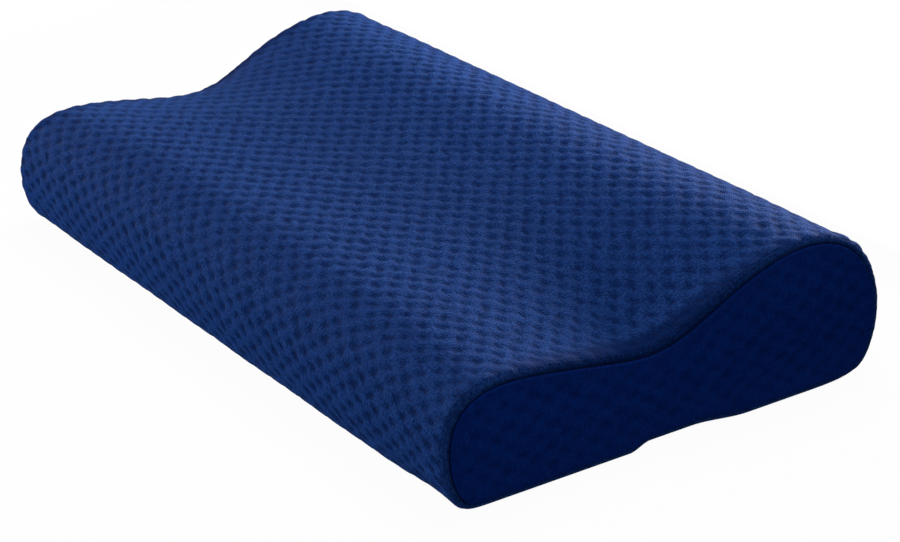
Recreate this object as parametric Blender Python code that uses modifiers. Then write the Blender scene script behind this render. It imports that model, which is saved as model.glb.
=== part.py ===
"""Contour foam bed pillow in a zipped bubble-knit cover.

Blender 4.5 script: blender --background --python part.py, or run it from the text editor.
Metres, +Z up. The pillow lies on its underside at Z = 0. X runs along its length, the low
front lobe is towards -Y and the high rear lobe towards +Y. Every layer is the moulded outline
moved inward by a depth, and the long edges of the two ends are rounded off. The cover follows
that outline at the two ends only: in between it is stretched from lobe to lobe over the cradle.
"""

import math

import bmesh
import bpy
import numpy as np

MM = 0.001

# Driving dimensions of the pillow
LENGTH = 560 * MM
DEPTH = 300 * MM
HEIGHT = 98 * MM
EDGE_RADIUS = 7 * MM  # rounding where the long faces turn into the two end faces
GAP = 0.3 * MM  # between pieces that touch

# Control polygon of the cover's outline, (y, z), counterclockwise seen from +X
UNDERSIDE = [(-125, 0), (-60, 0), (0, 0), (60, 0), (95, 0), (125, 0)]
REAR_FACE = [(141, 7), (152.5, 37), (147, 71)]
HIGH_LOBE = [(126.5, 94), (89, 101.5), (40.5, 84.5)]
CRADLE = [(-1.5, 59.5), (-40.5, 66), (-83, 74)]
LOW_LOBE = [(-122, 77.5), (-148, 61.5)]
FRONT_FACE = [(-152.5, 25.5), (-141, 0)]
STEPS_PER_POINT = 4
# How far the cover is held off the foam where it is stretched over the cradle, by control point
HIGH_LOBE_LIFT = [0, -0.5, 7]
CRADLE_LIFT = [26, 15.3, 5]
# How fast the stretched cover drops onto the cradle towards each end: reach and power
DROP_LEFT = (36 * MM, 1.1)
DROP_RIGHT = (80 * MM, 1.25)
# X of the cross-sections between the two ends
FOAM_STATIONS = [x * MM for x in (-140, 140)]
LEFT_STATIONS = [-258, -240, -216, -182, -130, -50]
RIGHT_STATIONS = [40, 90, 130, 165, 195, 222, 246, 262]
COVER_STATIONS = [x * MM for x in LEFT_STATIONS + RIGHT_STATIONS]

# Layers, each measured from the cover's outer surface
COVER_THICKNESS = 3 * MM
LINER_DEPTH = COVER_THICKNESS + GAP
LINER_THICKNESS = 0.8 * MM
FOAM_DEPTH = LINER_DEPTH + LINER_THICKNESS + GAP

# End seams: where on the rounded edge they run, and the groove between the two panels
SEAM_ANGLE = 1.19
SEAM_GROOVE = 1.5 * MM
SEAM_THREAD_DEPTH = 0.8 * MM
SEAM_THREAD_RADIUS = 0.35 * MM
LINER_SEAM_GROOVE = 0.5 * MM

# Shallow channel along the underside that keeps the zip off the bed
CHANNEL_HEIGHT = 4 * MM
CHANNEL_FRONT = (-28 * MM, -14 * MM)  # steep side
CHANNEL_REAR = (55 * MM, 14 * MM)  # gentle side
ZIP_ROOM = 2.3 * MM  # how far the liner and the foam stand back over the zip
ZIP_ROOM_FLAT = 16 * MM
ZIP_ROOM_EDGE = 30 * MM

# Zip
SLOT_LENGTH = 444 * MM
SLOT_WIDTH = 14 * MM
TAPE_LENGTH = 464 * MM
TAPE_WIDTH = 14 * MM
TAPE_THICKNESS = 0.5 * MM
TAPE_LOW = CHANNEL_HEIGHT + COVER_THICKNESS + GAP  # the tapes lie on the fabric's inner side
CHAIN_GAP = 1 * MM  # between the two sides of the zip, where the slider's web runs
COIL_WIDTH = 2.7 * MM
COIL_HEIGHT = 1.5 * MM
COIL_LOW = TAPE_LOW - 0.2 * MM - COIL_HEIGHT
SLIDER_LENGTH = 11 * MM
SLIDER_WIDTH = 8.4 * MM
SLIDER_PLATE = 0.8 * MM
SLIDER_FLANGE = 0.6 * MM
SLIDER_WEB = 0.4 * MM
SLIDER_AT = 198 * MM  # X of the slider's middle with the zip closed
SLIDER_TRAVEL = 388 * MM
SLIDER_LOW = COIL_LOW - GAP - SLIDER_PLATE
COIL_END = SLIDER_AT + SLIDER_LENGTH / 2 + GAP
COIL_START = SLIDER_AT - SLIDER_TRAVEL - SLIDER_LENGTH / 2 - GAP
STOP_LENGTH = 3 * MM

# Pull tab, hinged on the slider's bridge
BRIDGE_RADIUS = 0.45 * MM
BRIDGE_HALF_SPAN = 3.2 * MM
BRIDGE_DROP = 2.05 * MM  # from the slider's outer face to the bridge's middle line
TAB_LENGTH = 24 * MM
TAB_WIDTH = 6 * MM
TAB_THICKNESS = 0.8 * MM
TAB_BAR = 0.8 * MM  # the cross bar that the bridge holds
TAB_EYE = (2.6 * MM, 4.4 * MM)  # width and length of the hole that the bridge passes through
TAB_HOLE = (2.6 * MM, 7 * MM)  # width and length of the slot near the free end
TAB_HOLE_AT = 17.5 * MM
TAB_HINGE_DROP = 0.75 * MM  # from the slider's outer face to the hinge's axis

STITCH_RADIUS = 0.25 * MM
STITCH_MARGIN = 3 * MM
LABEL_LENGTH = 38 * MM
LABEL_WIDTH = 24 * MM
LABEL_THICKNESS = 0.5 * MM

# Colours, linear
NAVY_KNIT = (0.016, 0.045, 0.20)
NAVY_END = (0.013, 0.037, 0.17)
NAVY_THREAD = (0.010, 0.028, 0.13)
NAVY_TAPE = (0.012, 0.032, 0.15)
NAVY_COIL = (0.014, 0.036, 0.16)
GUNMETAL = (0.10, 0.11, 0.13)
FOAM_CREAM = (0.83, 0.78, 0.62)
LINER_WHITE = (0.80, 0.80, 0.78)
LABEL_WHITE = (0.86, 0.86, 0.84)


# ---------------------------------------------------------------- scene and materials


def clear_scene():
    for obj in list(bpy.data.objects):
        bpy.data.objects.remove(obj, do_unlink=True)


def new_collection(name):
    collection = bpy.data.collections.new(name)
    bpy.context.scene.collection.children.link(collection)
    return collection


def principled(name, colour, roughness, metallic=0.0):
    material = bpy.data.materials.new(name)
    material.use_nodes = True
    shader = material.node_tree.nodes["Principled BSDF"]
    shader.inputs["Base Color"].default_value = (*colour, 1.0)
    shader.inputs["Roughness"].default_value = roughness
    shader.inputs["Metallic"].default_value = metallic
    return material


def add_object(name, data, material, collection):
    obj = bpy.data.objects.new(name, data)
    data.materials.append(material)
    collection.objects.link(obj)
    return obj


def as_object(name, mesh, material, collection):
    """Ends a bmesh: writes it to a smooth-shaded mesh object."""
    data = bpy.data.meshes.new(name)
    mesh.to_mesh(data)
    mesh.free()
    data.shade_smooth()
    data.set_sharp_from_angle(angle=math.radians(35))
    return add_object(name, data, material, collection)


# ---------------------------------------------------------------- outline of the layers


def smooth_step(value, start, end):
    t = np.clip((value - start) / (end - start), 0, 1)
    return t * t * (3 - 2 * t)


def b_spline_loop(points, steps):
    """Closed uniform cubic B-spline of a control polygon."""
    t = np.arange(steps)[:, None] / steps
    weights = [(1 - t) ** 3, 3 * t**3 - 6 * t**2 + 4, -3 * t**3 + 3 * t**2 + 3 * t + 1, t**3]
    weights = np.hstack(weights) / 6
    count = len(points)
    spans = [weights @ points[[i - 1, i, (i + 1) % count, (i + 2) % count]] for i in range(count)]
    return np.vstack(spans)


def cover_outlines():
    """The cover's outer outline, (y, z): on the moulded shape, and stretched over the cradle."""
    control = UNDERSIDE + REAR_FACE + HIGH_LOBE + CRADLE + LOW_LOBE + FRONT_FACE
    lift = [0] * len(UNDERSIDE + REAR_FACE) + HIGH_LOBE_LIFT + CRADLE_LIFT
    lift += [0] * (len(control) - len(lift))
    y, z = b_spline_loop(np.array(control, float), STEPS_PER_POINT).T
    rise = b_spline_loop(np.array([(0, up) for up in lift], float), STEPS_PER_POINT)[:, 1]
    y = (y - (y.max() + y.min()) / 2) * DEPTH / np.ptp(y)
    scale = HEIGHT / ((z + rise).max() - z.min())
    z = (z - z.min()) * scale
    channel = smooth_step(y, *CHANNEL_FRONT) * smooth_step(y, *CHANNEL_REAR)
    z = z + CHANNEL_HEIGHT * channel * (z < HEIGHT / 4)
    return np.column_stack([y, z]), np.column_stack([y, z + rise * scale])


def held_down(x):
    """How far the cover is down on the cradle at X: 1 at the ends, 0 where it is stretched over it."""
    away = LENGTH / 2 - EDGE_RADIUS - abs(x)
    reach, power = DROP_LEFT if x < 0 else DROP_RIGHT
    return math.exp(-((away / reach) ** power))


def inset(outline, depth, zip_room=0.0):
    """The outline moved inward by depth, and lifted by zip_room over the zip."""
    tangent = np.roll(outline, -1, axis=0) - np.roll(outline, 1, axis=0)
    tangent /= np.linalg.norm(tangent, axis=1)[:, None]
    moved = outline + depth * np.column_stack([-tangent[:, 1], tangent[:, 0]])
    y, z = moved.T
    lift = zip_room * smooth_step(np.abs(y), ZIP_ROOM_EDGE, ZIP_ROOM_FLAT)
    return np.column_stack([y, z + lift * (z < HEIGHT / 4)])


def section(outline, x):
    return [(x, y, z) for y, z in outline]


def edge_section(outline, side, depth, angle, zip_room=0.0):
    """A cross-section on the rounded edge of one end: angle 0 is the long face, 90 degrees the end face."""
    radius = EDGE_RADIUS - depth
    x = LENGTH / 2 - EDGE_RADIUS + radius * math.sin(angle)
    return section(inset(outline, EDGE_RADIUS - radius * math.cos(angle), zip_room), side * x)


def body_sections(outline, between, depth, last_angle, steps, zip_room=0.0):
    """Cross-sections from end to end, rounded off at both; between holds (x, outline) pairs."""
    angles = np.linspace(0, last_angle, steps + 1)
    left = [edge_section(outline, -1, depth, a, zip_room) for a in reversed(angles)]
    middle = [section(inset(loop, depth, zip_room), x) for x, loop in between]
    right = [edge_section(outline, 1, depth, a, zip_room) for a in angles]
    return left + middle + right


# ---------------------------------------------------------------- shapes


def loft(mesh, sections):
    rows = [[mesh.verts.new(point) for point in ring] for ring in sections]
    for near, far in zip(rows, rows[1:]):
        for i in range(len(near)):
            mesh.faces.new((near[i - 1], near[i], far[i], far[i - 1]))
    return rows


def solidify(obj, thickness):
    shell = obj.modifiers.new("Thickness", "SOLIDIFY")
    shell.thickness = thickness
    shell.offset = -1
    shell.use_even_offset = True


def cut_by(obj, cutter):
    cut = obj.modifiers.new("Cut", "BOOLEAN")
    cut.operation = "DIFFERENCE"
    cut.solver = "EXACT"
    cut.object = cutter


def joined_with(obj, other):
    union = obj.modifiers.new("Union", "BOOLEAN")
    union.operation = "UNION"
    union.solver = "EXACT"
    union.object = other


def soften_edges(obj, width):
    bevel = obj.modifiers.new("Soft edges", "BEVEL")
    bevel.width = width
    bevel.segments = 2
    bevel.limit_method = "ANGLE"
    bevel.angle_limit = math.radians(40)


def helper(obj):
    obj.hide_render = True
    obj.display_type = "WIRE"
    return obj


def bar(name, low, high, material, collection, rounding=0.0):
    """A box between two corners, its origin at its middle."""
    mesh = bmesh.new()
    bmesh.ops.create_cube(mesh, size=1)
    size = [h - l for l, h in zip(low, high)]
    bmesh.ops.scale(mesh, vec=size, verts=mesh.verts)
    obj = as_object(name, mesh, material, collection)
    obj.location = [(l + h) / 2 for l, h in zip(low, high)]
    if rounding:
        soften_edges(obj, rounding)
    return obj


def thread(name, points, radius, material, collection, closed, roundness=1):
    """A thread or wire along the points; roundness adds two sides to its four each time."""
    curve = bpy.data.curves.new(name, "CURVE")
    curve.dimensions = "3D"
    curve.bevel_depth = radius
    curve.bevel_resolution = roundness
    curve.use_fill_caps = not closed
    spline = curve.splines.new("POLY")
    spline.points.add(len(points) - 1)
    spline.points.foreach_set("co", np.column_stack([points, np.ones(len(points))]).ravel())
    spline.use_cyclic_u = closed
    return add_object(name, curve, material, collection)


def flat_shape(name, outlines, thickness, material, collection):
    """A plate in its own XY plane: the first outline is its edge, the others are holes."""
    curve = bpy.data.curves.new(name, "CURVE")
    curve.dimensions = "2D"
    curve.fill_mode = "BOTH"
    curve.extrude = thickness / 2
    for outline in outlines:
        spline = curve.splines.new("POLY")
        spline.points.add(len(outline) - 1)
        flat = [(x, y, 0, 1) for x, y in outline]
        spline.points.foreach_set("co", np.ravel(flat))
        spline.use_cyclic_u = True
    return add_object(name, curve, material, collection)


def prism(name, profile, middle_x, length, material, collection):
    """A (y, z) profile drawn out along X, its origin at middle_x."""
    mesh = bmesh.new()
    face = mesh.faces.new([mesh.verts.new((-length / 2, y, z)) for y, z in profile])
    made = bmesh.ops.extrude_face_region(mesh, geom=[face])
    moved = [v for v in made["geom"] if isinstance(v, bmesh.types.BMVert)]
    bmesh.ops.translate(mesh, vec=(length, 0, 0), verts=moved)
    bmesh.ops.recalc_face_normals(mesh, faces=mesh.faces)
    obj = as_object(name, mesh, material, collection)
    obj.location.x = middle_x
    return obj


def to_mesh_object(obj, collection):
    """The curve object as a mesh object of the same name, its caps welded on."""
    bpy.context.view_layer.update()
    graph = bpy.context.evaluated_depsgraph_get()
    data = bpy.data.meshes.new_from_object(obj.evaluated_get(graph))
    mesh = bmesh.new()
    mesh.from_mesh(data)
    bmesh.ops.remove_doubles(mesh, verts=mesh.verts, dist=1e-6)
    bmesh.ops.recalc_face_normals(mesh, faces=mesh.faces)
    mesh.to_mesh(data)
    mesh.free()
    name = obj.name
    made = bpy.data.objects.new(name, data)
    made.matrix_world = obj.matrix_world.copy()
    bpy.data.objects.remove(obj, do_unlink=True)
    made.name = name
    collection.objects.link(made)
    return made


def rounded_rectangle(length, width, radius, steps=4, centre=(0.0, 0.0)):
    points = []
    for corner in range(4):
        turn = corner * math.pi / 2
        sx = 1 if corner in (0, 3) else -1
        sy = 1 if corner in (0, 1) else -1
        cx = centre[0] + sx * (length / 2 - radius)
        cy = centre[1] + sy * (width / 2 - radius)
        for step in range(steps + 1):
            angle = turn + step * math.pi / 2 / steps
            points.append((cx + radius * math.cos(angle), cy + radius * math.sin(angle)))
    return points


# ---------------------------------------------------------------- foam, liner and cover


def foam_core(outline, between, material, parts):
    mesh = bmesh.new()
    rows = loft(mesh, body_sections(outline, between, FOAM_DEPTH, math.pi / 2, 2, ZIP_ROOM))
    mesh.faces.new(reversed(rows[0]))
    mesh.faces.new(rows[-1])
    return as_object("foam_core", mesh, material, parts)


def wrap(name, outline, between, depth, thickness, groove, steps, zip_room, material, parts):
    """The long panel of a layer, open at both ends, where the end panels are sewn on."""
    last_angle = SEAM_ANGLE - groove / 2 / (EDGE_RADIUS - depth)
    mesh = bmesh.new()
    loft(mesh, body_sections(outline, between, depth, last_angle, steps, zip_room))
    obj = as_object(name, mesh, material, parts)
    solidify(obj, thickness)
    return obj


def end_panel(name, side, outline, depth, thickness, groove, zip_room, material, parts):
    """The flat panel of one end, with the turned edge that meets the long panel at the seam."""
    first_angle = SEAM_ANGLE + groove / 2 / (EDGE_RADIUS - depth)
    mesh = bmesh.new()
    angles = (first_angle, math.pi / 2)
    rows = loft(mesh, [edge_section(outline, side, depth, a, zip_room) for a in angles])
    mesh.faces.new(rows[-1])
    if side < 0:
        bmesh.ops.reverse_faces(mesh, faces=mesh.faces)
    obj = as_object(name, mesh, material, parts)
    solidify(obj, thickness)
    return obj


def seam_thread(name, side, outline, material, parts):
    points = edge_section(outline, side, SEAM_THREAD_DEPTH, SEAM_ANGLE)
    return thread(name, points, SEAM_THREAD_RADIUS, material, parts, closed=True)


# ---------------------------------------------------------------- zip


def slot_cutter(material, cutters):
    outline = rounded_rectangle(SLOT_LENGTH, SLOT_WIDTH, 3 * MM)
    cutter = flat_shape("slot_cutter", [outline], 6 * COVER_THICKNESS, material, cutters)
    return helper(to_mesh_object(cutter, cutters))


def zip_side(side, word, tape_material, coil_material, parts):
    """One tape and its coil; side is -1 at the front and 1 at the rear."""
    near = CHAIN_GAP / 2
    tape_y = sorted((side * near, side * (near + TAPE_WIDTH)))
    coil_y = sorted((side * near, side * (near + COIL_WIDTH)))
    end_x = TAPE_LENGTH / 2
    bar(
        f"zip_tape_{word}",
        (-end_x, tape_y[0], TAPE_LOW),
        (end_x, tape_y[1], TAPE_LOW + TAPE_THICKNESS),
        tape_material,
        parts,
    )
    bar(
        f"zip_coil_{word}",
        (COIL_START, coil_y[0], COIL_LOW),
        (COIL_END, coil_y[1], COIL_LOW + COIL_HEIGHT),
        coil_material,
        parts,
        rounding=0.5 * MM,
    )


def zip_stops(material, parts):
    """A crimp on each tape where the slider rests closed, and one across both where it stops open."""
    low, high = COIL_LOW - 0.1 * MM, COIL_LOW + COIL_HEIGHT
    start = COIL_END + GAP
    reach = CHAIN_GAP / 2 + COIL_WIDTH
    for side, word in ((-1, "front"), (1, "rear")):
        y = sorted((side * CHAIN_GAP / 2, side * reach))
        bar(
            f"zip_top_stop_{word}",
            (start, y[0], low),
            (start + STOP_LENGTH, y[1], high),
            material,
            parts,
            rounding=0.4 * MM,
        )
    end = COIL_START - GAP
    bar(
        "zip_bottom_stop",
        (end - STOP_LENGTH, -reach, low),
        (end, reach, high),
        material,
        parts,
        rounding=0.4 * MM,
    )


def slider_profile():
    """Cross-section of the slider from its outer face: outer plate with flanges, web, inner plate."""
    half = SLIDER_WIDTH / 2
    inside = half - SLIDER_FLANGE
    web = SLIDER_WEB / 2
    plate = SLIDER_PLATE
    flange = TAPE_LOW - GAP - SLIDER_LOW
    upper = TAPE_LOW + TAPE_THICKNESS + GAP - SLIDER_LOW
    right = [(half, 0), (half, flange), (inside, flange), (inside, plate), (web, plate), (web, upper)]
    right += [(inside, upper), (inside, upper + plate)]
    left = [(-y, z) for y, z in reversed(right)]
    return right + left


def zip_slider(material, parts, cutters):
    profile = [(y, SLIDER_LOW + z) for y, z in slider_profile()]
    body = prism("zip_slider", profile, SLIDER_AT, SLIDER_LENGTH, material, parts)
    foot, drop = BRIDGE_HALF_SPAN, SLIDER_LOW - BRIDGE_DROP
    bend = 0.7 * MM
    path = [(-foot, SLIDER_LOW + SLIDER_PLATE / 2), (-foot, drop + bend), (-foot + bend, drop)]
    path += [(-x, z) for x, z in reversed(path)]
    points = [(SLIDER_AT + x, 0, z) for x, z in path]
    bridge = thread("slider_bridge", points, BRIDGE_RADIUS, material, cutters, closed=False, roundness=2)
    joined_with(body, helper(to_mesh_object(bridge, cutters)))
    return body


def pull_tab(slider, material, parts):
    """A flat tab that lies over the closed zip, its origin on the hinge's axis under the bridge."""
    eye_width, eye_length = TAB_EYE
    bar_half = TAB_BAR / 2
    outer = rounded_rectangle(TAB_LENGTH, TAB_WIDTH, 2.4 * MM, 5, (bar_half - TAB_LENGTH / 2, 0))
    eye = rounded_rectangle(eye_length, eye_width, 0.4 * MM, 2, (-bar_half - eye_length / 2, 0))
    hole_width, hole_length = TAB_HOLE
    hole = rounded_rectangle(hole_length, hole_width, 0.49 * hole_width, 5, (-TAB_HOLE_AT, 0))
    tab = flat_shape("zip_pull_tab", [outer, eye, hole], TAB_THICKNESS, material, parts)
    tab.location = (SLIDER_AT, 0, SLIDER_LOW - TAB_HINGE_DROP)
    tab = to_mesh_object(tab, parts)
    tab.parent = slider
    tab.matrix_parent_inverse = slider.matrix_world.inverted()
    return tab


def zip_stitching(material, parts):
    length = SLOT_LENGTH + 2 * STITCH_MARGIN
    width = SLOT_WIDTH + 2 * STITCH_MARGIN
    z = CHANNEL_HEIGHT - GAP - STITCH_RADIUS
    points = [(x, y, z) for x, y in rounded_rectangle(length, width, 4 * MM, 3)]
    return thread("zip_stitching", points, STITCH_RADIUS, material, parts, closed=True)


def care_label(material, parts):
    """A blank fabric label sewn in beyond the zip's bottom stop, flat in the channel."""
    end = -SLOT_LENGTH / 2 - STITCH_MARGIN - 1.5 * MM
    top = CHANNEL_HEIGHT - GAP
    low = (end - LABEL_LENGTH, -LABEL_WIDTH / 2, top - LABEL_THICKNESS)
    return bar("care_label", low, (end, LABEL_WIDTH / 2, top), material, parts)


# ---------------------------------------------------------------- whole pillow


def main():
    clear_scene()
    parts = new_collection("contour_pillow")
    cutters = new_collection("cutters")
    outline, stretched = cover_outlines()
    moulded = [(x, outline) for x in FOAM_STATIONS]
    bridging = [(x, stretched + held_down(x) * (outline - stretched)) for x in COVER_STATIONS]

    knit = principled("cover_knit", NAVY_KNIT, 0.9)
    end_knit = principled("end_knit", NAVY_END, 0.9)
    seam = principled("seam_thread", NAVY_THREAD, 0.7)
    liner = principled("liner_jersey", LINER_WHITE, 0.95)
    foam = principled("memory_foam", FOAM_CREAM, 0.95)
    tape = principled("zip_tape", NAVY_TAPE, 0.85)
    coil = principled("zip_coil", NAVY_COIL, 0.4)
    metal = principled("zip_metal", GUNMETAL, 0.35, metallic=0.9)
    label = principled("label_satin", LABEL_WHITE, 0.6)

    foam_core(outline, moulded, foam, parts)
    wrap(
        "liner_body", outline, moulded, LINER_DEPTH, LINER_THICKNESS,
        LINER_SEAM_GROOVE, 2, ZIP_ROOM, liner, parts,
    )
    panel = wrap(
        "cover_main_panel", outline, bridging, 0, COVER_THICKNESS, SEAM_GROOVE, 4, 0.0, knit, parts
    )
    cut_by(panel, slot_cutter(knit, cutters))
    for side, word in ((-1, "left"), (1, "right")):
        end_panel(
            f"liner_end_{word}", side, outline, LINER_DEPTH, LINER_THICKNESS,
            LINER_SEAM_GROOVE, ZIP_ROOM, liner, parts,
        )
        end_panel(
            f"cover_end_{word}", side, outline, 0, COVER_THICKNESS, SEAM_GROOVE, 0.0, end_knit, parts
        )
        seam_thread(f"seam_thread_{word}", side, outline, seam, parts)

    for side, word in ((-1, "front"), (1, "rear")):
        zip_side(side, word, tape, coil, parts)
    zip_stops(metal, parts)
    zip_stitching(seam, parts)
    care_label(label, parts)
    slider = zip_slider(metal, parts, cutters)
    pull_tab(slider, metal, parts)


main()
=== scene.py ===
"""Visual model of the contour bed pillow: a navy bubble-knit cover with a zip, over a liner and foam.

Every layer of the pillow is its outline moved inward by a depth, and run along X. A place on a
layer is (s, u): s goes round the outline, from the middle of the underside by the rear face first,
and u goes along the length and on round the end edges. Lengths are in metres.
"""

import math

import bmesh
import bpy
import numpy as np
from mathutils import Matrix, Vector
from mathutils.geometry import delaunay_2d_cdt


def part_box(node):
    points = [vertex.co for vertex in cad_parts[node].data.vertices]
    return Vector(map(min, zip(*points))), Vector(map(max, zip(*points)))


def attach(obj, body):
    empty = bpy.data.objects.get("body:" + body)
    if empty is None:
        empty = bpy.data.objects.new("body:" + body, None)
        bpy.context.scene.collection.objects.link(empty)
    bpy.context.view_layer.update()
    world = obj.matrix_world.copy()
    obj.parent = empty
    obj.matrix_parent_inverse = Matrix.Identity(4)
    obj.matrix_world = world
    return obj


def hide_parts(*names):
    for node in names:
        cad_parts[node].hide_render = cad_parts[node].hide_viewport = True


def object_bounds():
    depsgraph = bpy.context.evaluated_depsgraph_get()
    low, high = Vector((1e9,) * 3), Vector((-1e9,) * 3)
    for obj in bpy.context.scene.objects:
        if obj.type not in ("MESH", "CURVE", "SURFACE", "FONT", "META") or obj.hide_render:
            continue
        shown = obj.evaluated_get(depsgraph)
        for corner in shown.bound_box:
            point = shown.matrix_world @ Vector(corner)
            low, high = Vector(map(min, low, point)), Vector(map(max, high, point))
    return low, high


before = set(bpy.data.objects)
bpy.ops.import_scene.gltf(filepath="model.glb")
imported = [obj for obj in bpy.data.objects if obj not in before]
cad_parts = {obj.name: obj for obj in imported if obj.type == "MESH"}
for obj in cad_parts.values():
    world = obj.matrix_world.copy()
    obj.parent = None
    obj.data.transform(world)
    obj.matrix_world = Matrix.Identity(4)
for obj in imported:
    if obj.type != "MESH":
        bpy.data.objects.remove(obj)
cad_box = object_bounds()

MM = 0.001

# The pillow's outline, as the CAD model has it: (y, z) control points in mm
LENGTH = cad_box[1].x - cad_box[0].x
DEPTH = cad_box[1].y - cad_box[0].y
HEIGHT = cad_box[1].z
EDGE_RADIUS = 7 * MM
SEAM_ANGLE = 1.19
UNDERSIDE = [(-125, 0), (-60, 0), (0, 0), (60, 0), (95, 0), (125, 0)]
REAR_FACE = [(141, 7), (152.5, 37), (147, 71)]
HIGH_LOBE = [(126.5, 94), (89, 101.5), (40.5, 84.5)]
CRADLE = [(-1.5, 59.5), (-40.5, 66), (-83, 74)]
LOW_LOBE = [(-122, 77.5), (-148, 61.5)]
FRONT_FACE = [(-152.5, 25.5), (-141, 0)]
# How far the cover is held off the cradle in the middle of the length, in mm by control point
HIGH_LOBE_LIFT = [0, -0.5, 7.0]
CRADLE_LIFT = [26.0, 15.3, 5.0]
CHANNEL_HEIGHT = 4 * MM
CHANNEL_FRONT = (-28 * MM, -14 * MM)
CHANNEL_REAR = (55 * MM, 14 * MM)
ZIP_ROOM = 2.3 * MM
ZIP_ROOM_FLAT = 16 * MM
ZIP_ROOM_EDGE = 30 * MM
OUTLINE_STEPS = 64

# Layers, from the cover's outer surface
LINER_DEPTH = 3.3 * MM
FOAM_DEPTH = 4.4 * MM
TURNED_IN = 2.9 * MM  # how deep the cover's raw edges turn in at a seam
LINER_TURNED_IN = LINER_DEPTH + 0.8 * MM
LINER_ANGLE = 1.1  # where the liner's end seams are on the rounded edge

# How fast the cover drops from lobe to lobe onto the cradle towards each end: reach and power
DROP_LEFT = (36 * MM, 1.1)
DROP_RIGHT = (80 * MM, 1.25)

# Bubble knit
CELL_ALONG = 9.1 * MM  # along the length
CELLS_ROUND = 110  # round the outline; even, so that the checker closes
RELIEF = 0.85 * MM
# yarn flecks: random, with painted sheen on raised yarns and painted shade on low ones
FLECK_DARK = (0.25, 0.52, 0.68, 1)
FLECK_LIGHT_AND_SHEEN = (1.80, 1.50, 1.30, 1)
RIB_PITCH = 2.1 * MM
LOOP_PITCH = 1.7 * MM

# Where a second line shows beside the end seams: on the low lobe
WELT = (485 * MM, 45 * MM)

# The cover stands proud in a soft roll along each end seam
PUFF = (0.7 * MM, 1.4 * MM)  # on the lobes, and over the cradle
PUFF_AWAY = (9 * MM, 15 * MM)
PUFF_WIDTH = 8 * MM
PUFF_LEFT = 0.25  # share of it at the left end
PUFF_UPRIGHT = 0.3  # share of it on the front and rear faces
SQUARED = 0.8 * MM  # the fabric fills out the rounded edge between seam and panel
TUCKED = 1.4 * MM  # the cover draws in at the foot of the front, near the ends
TUCKED_LEFT = 0.2  # share of it at the left end

# Painted shade along the end seams, where the cover drops to the cradle: the knit is painted darker there
SEAM_SHADE_BAND = 15.0 * MM  # how wide, where the cover drops to the cradle
SEAM_SHADE_TONE = -0.1

# The cloth simulation of the cover's swell
SWELL_CELL = 13 * MM
SWELL_ROUND, SWELL_ALONG = 56, 45  # the lattice's points round the outline and along the length
SWELL_STIFFNESS, SWELL_PRESSURE = 40, 1.5
SWELL_FRAMES = 20
SWELL_CAP = 1.6 * MM  # approached softly
FULLER = 0.6 * MM  # how much further out the cover stands in the middle of the length

# The long panel's bare places, the line beside its end seams, and its closing seam
FLAT_DEPTH = 0.35 * MM
WELT_DEPTH = 0.45 * MM
CLOSING_DEPTH = 1.2 * MM
SEWN_DEPTH = 0.55 * MM  # how deep the slot's stitching sits
UNEVEN = 0.08 * MM  # how far the cover is out of true
BUBBLES_START = (0.8 * MM, 4.5 * MM)  # from an end seam
BUBBLES_START_UNDER = (5 * MM, 14 * MM)  # from an end seam on the underside
FOOT = (30 * MM, 8 * MM)  # heights between which the bubbles flatten
END_FADE = (0.5 * MM, 6 * MM)  # where an end's bubbles start
CROWN_REACH = 34 * MM  # how far an end's crown takes to rise

# Zip slot in the underside
SLOT_HALF_LENGTH = 222 * MM
SLOT_HALF_WIDTH = 7 * MM
STITCH_MARGIN = 3 * MM
HEM = ((0.45 * MM, 4.9 * MM), (0.5 * MM, 5.8 * MM), (0.3 * MM, 6.8 * MM))  # reach inward, and height

SIDES = ((-1, "left"), (1, "right"))
# Places round each layer
COVER_PLACES, END_PLACES, THREAD_PLACES, INNER_PLACES = 336, 342, 720, 240
STAGE_RADIUS = 9.0

HALF_FLAT = LENGTH / 2 - EDGE_RADIUS
HALF_SPAN = HALF_FLAT + EDGE_RADIUS * SEAM_ANGLE  # u of the end seams
LINER_HALF_SPAN = HALF_FLAT + EDGE_RADIUS * LINER_ANGLE


# ---------------------------------------------------------------- outline


def smooth_step(value, start, end):
    t = np.clip((value - start) / (end - start), 0, 1)
    return t * t * (3 - 2 * t)


def hump(value, middle, width):
    return np.exp(-(((value - middle) / width) ** 2))


def b_spline_weights(t):
    """The weights of four control points that follow each other, at t from 0 to 1."""
    return [(1 - t) ** 3, 3 * t**3 - 6 * t**2 + 4, -3 * t**3 + 3 * t**2 + 3 * t + 1, t**3]


def b_spline_loop(points, steps):
    """A smooth closed line near the points, with steps places to each."""
    weights = np.hstack(b_spline_weights(np.arange(steps)[:, None] / steps)) / 6
    n = len(points)
    spans = [weights @ points[[i - 1, i, (i + 1) % n, (i + 2) % n]] for i in range(n)]
    return np.vstack(spans)


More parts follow.
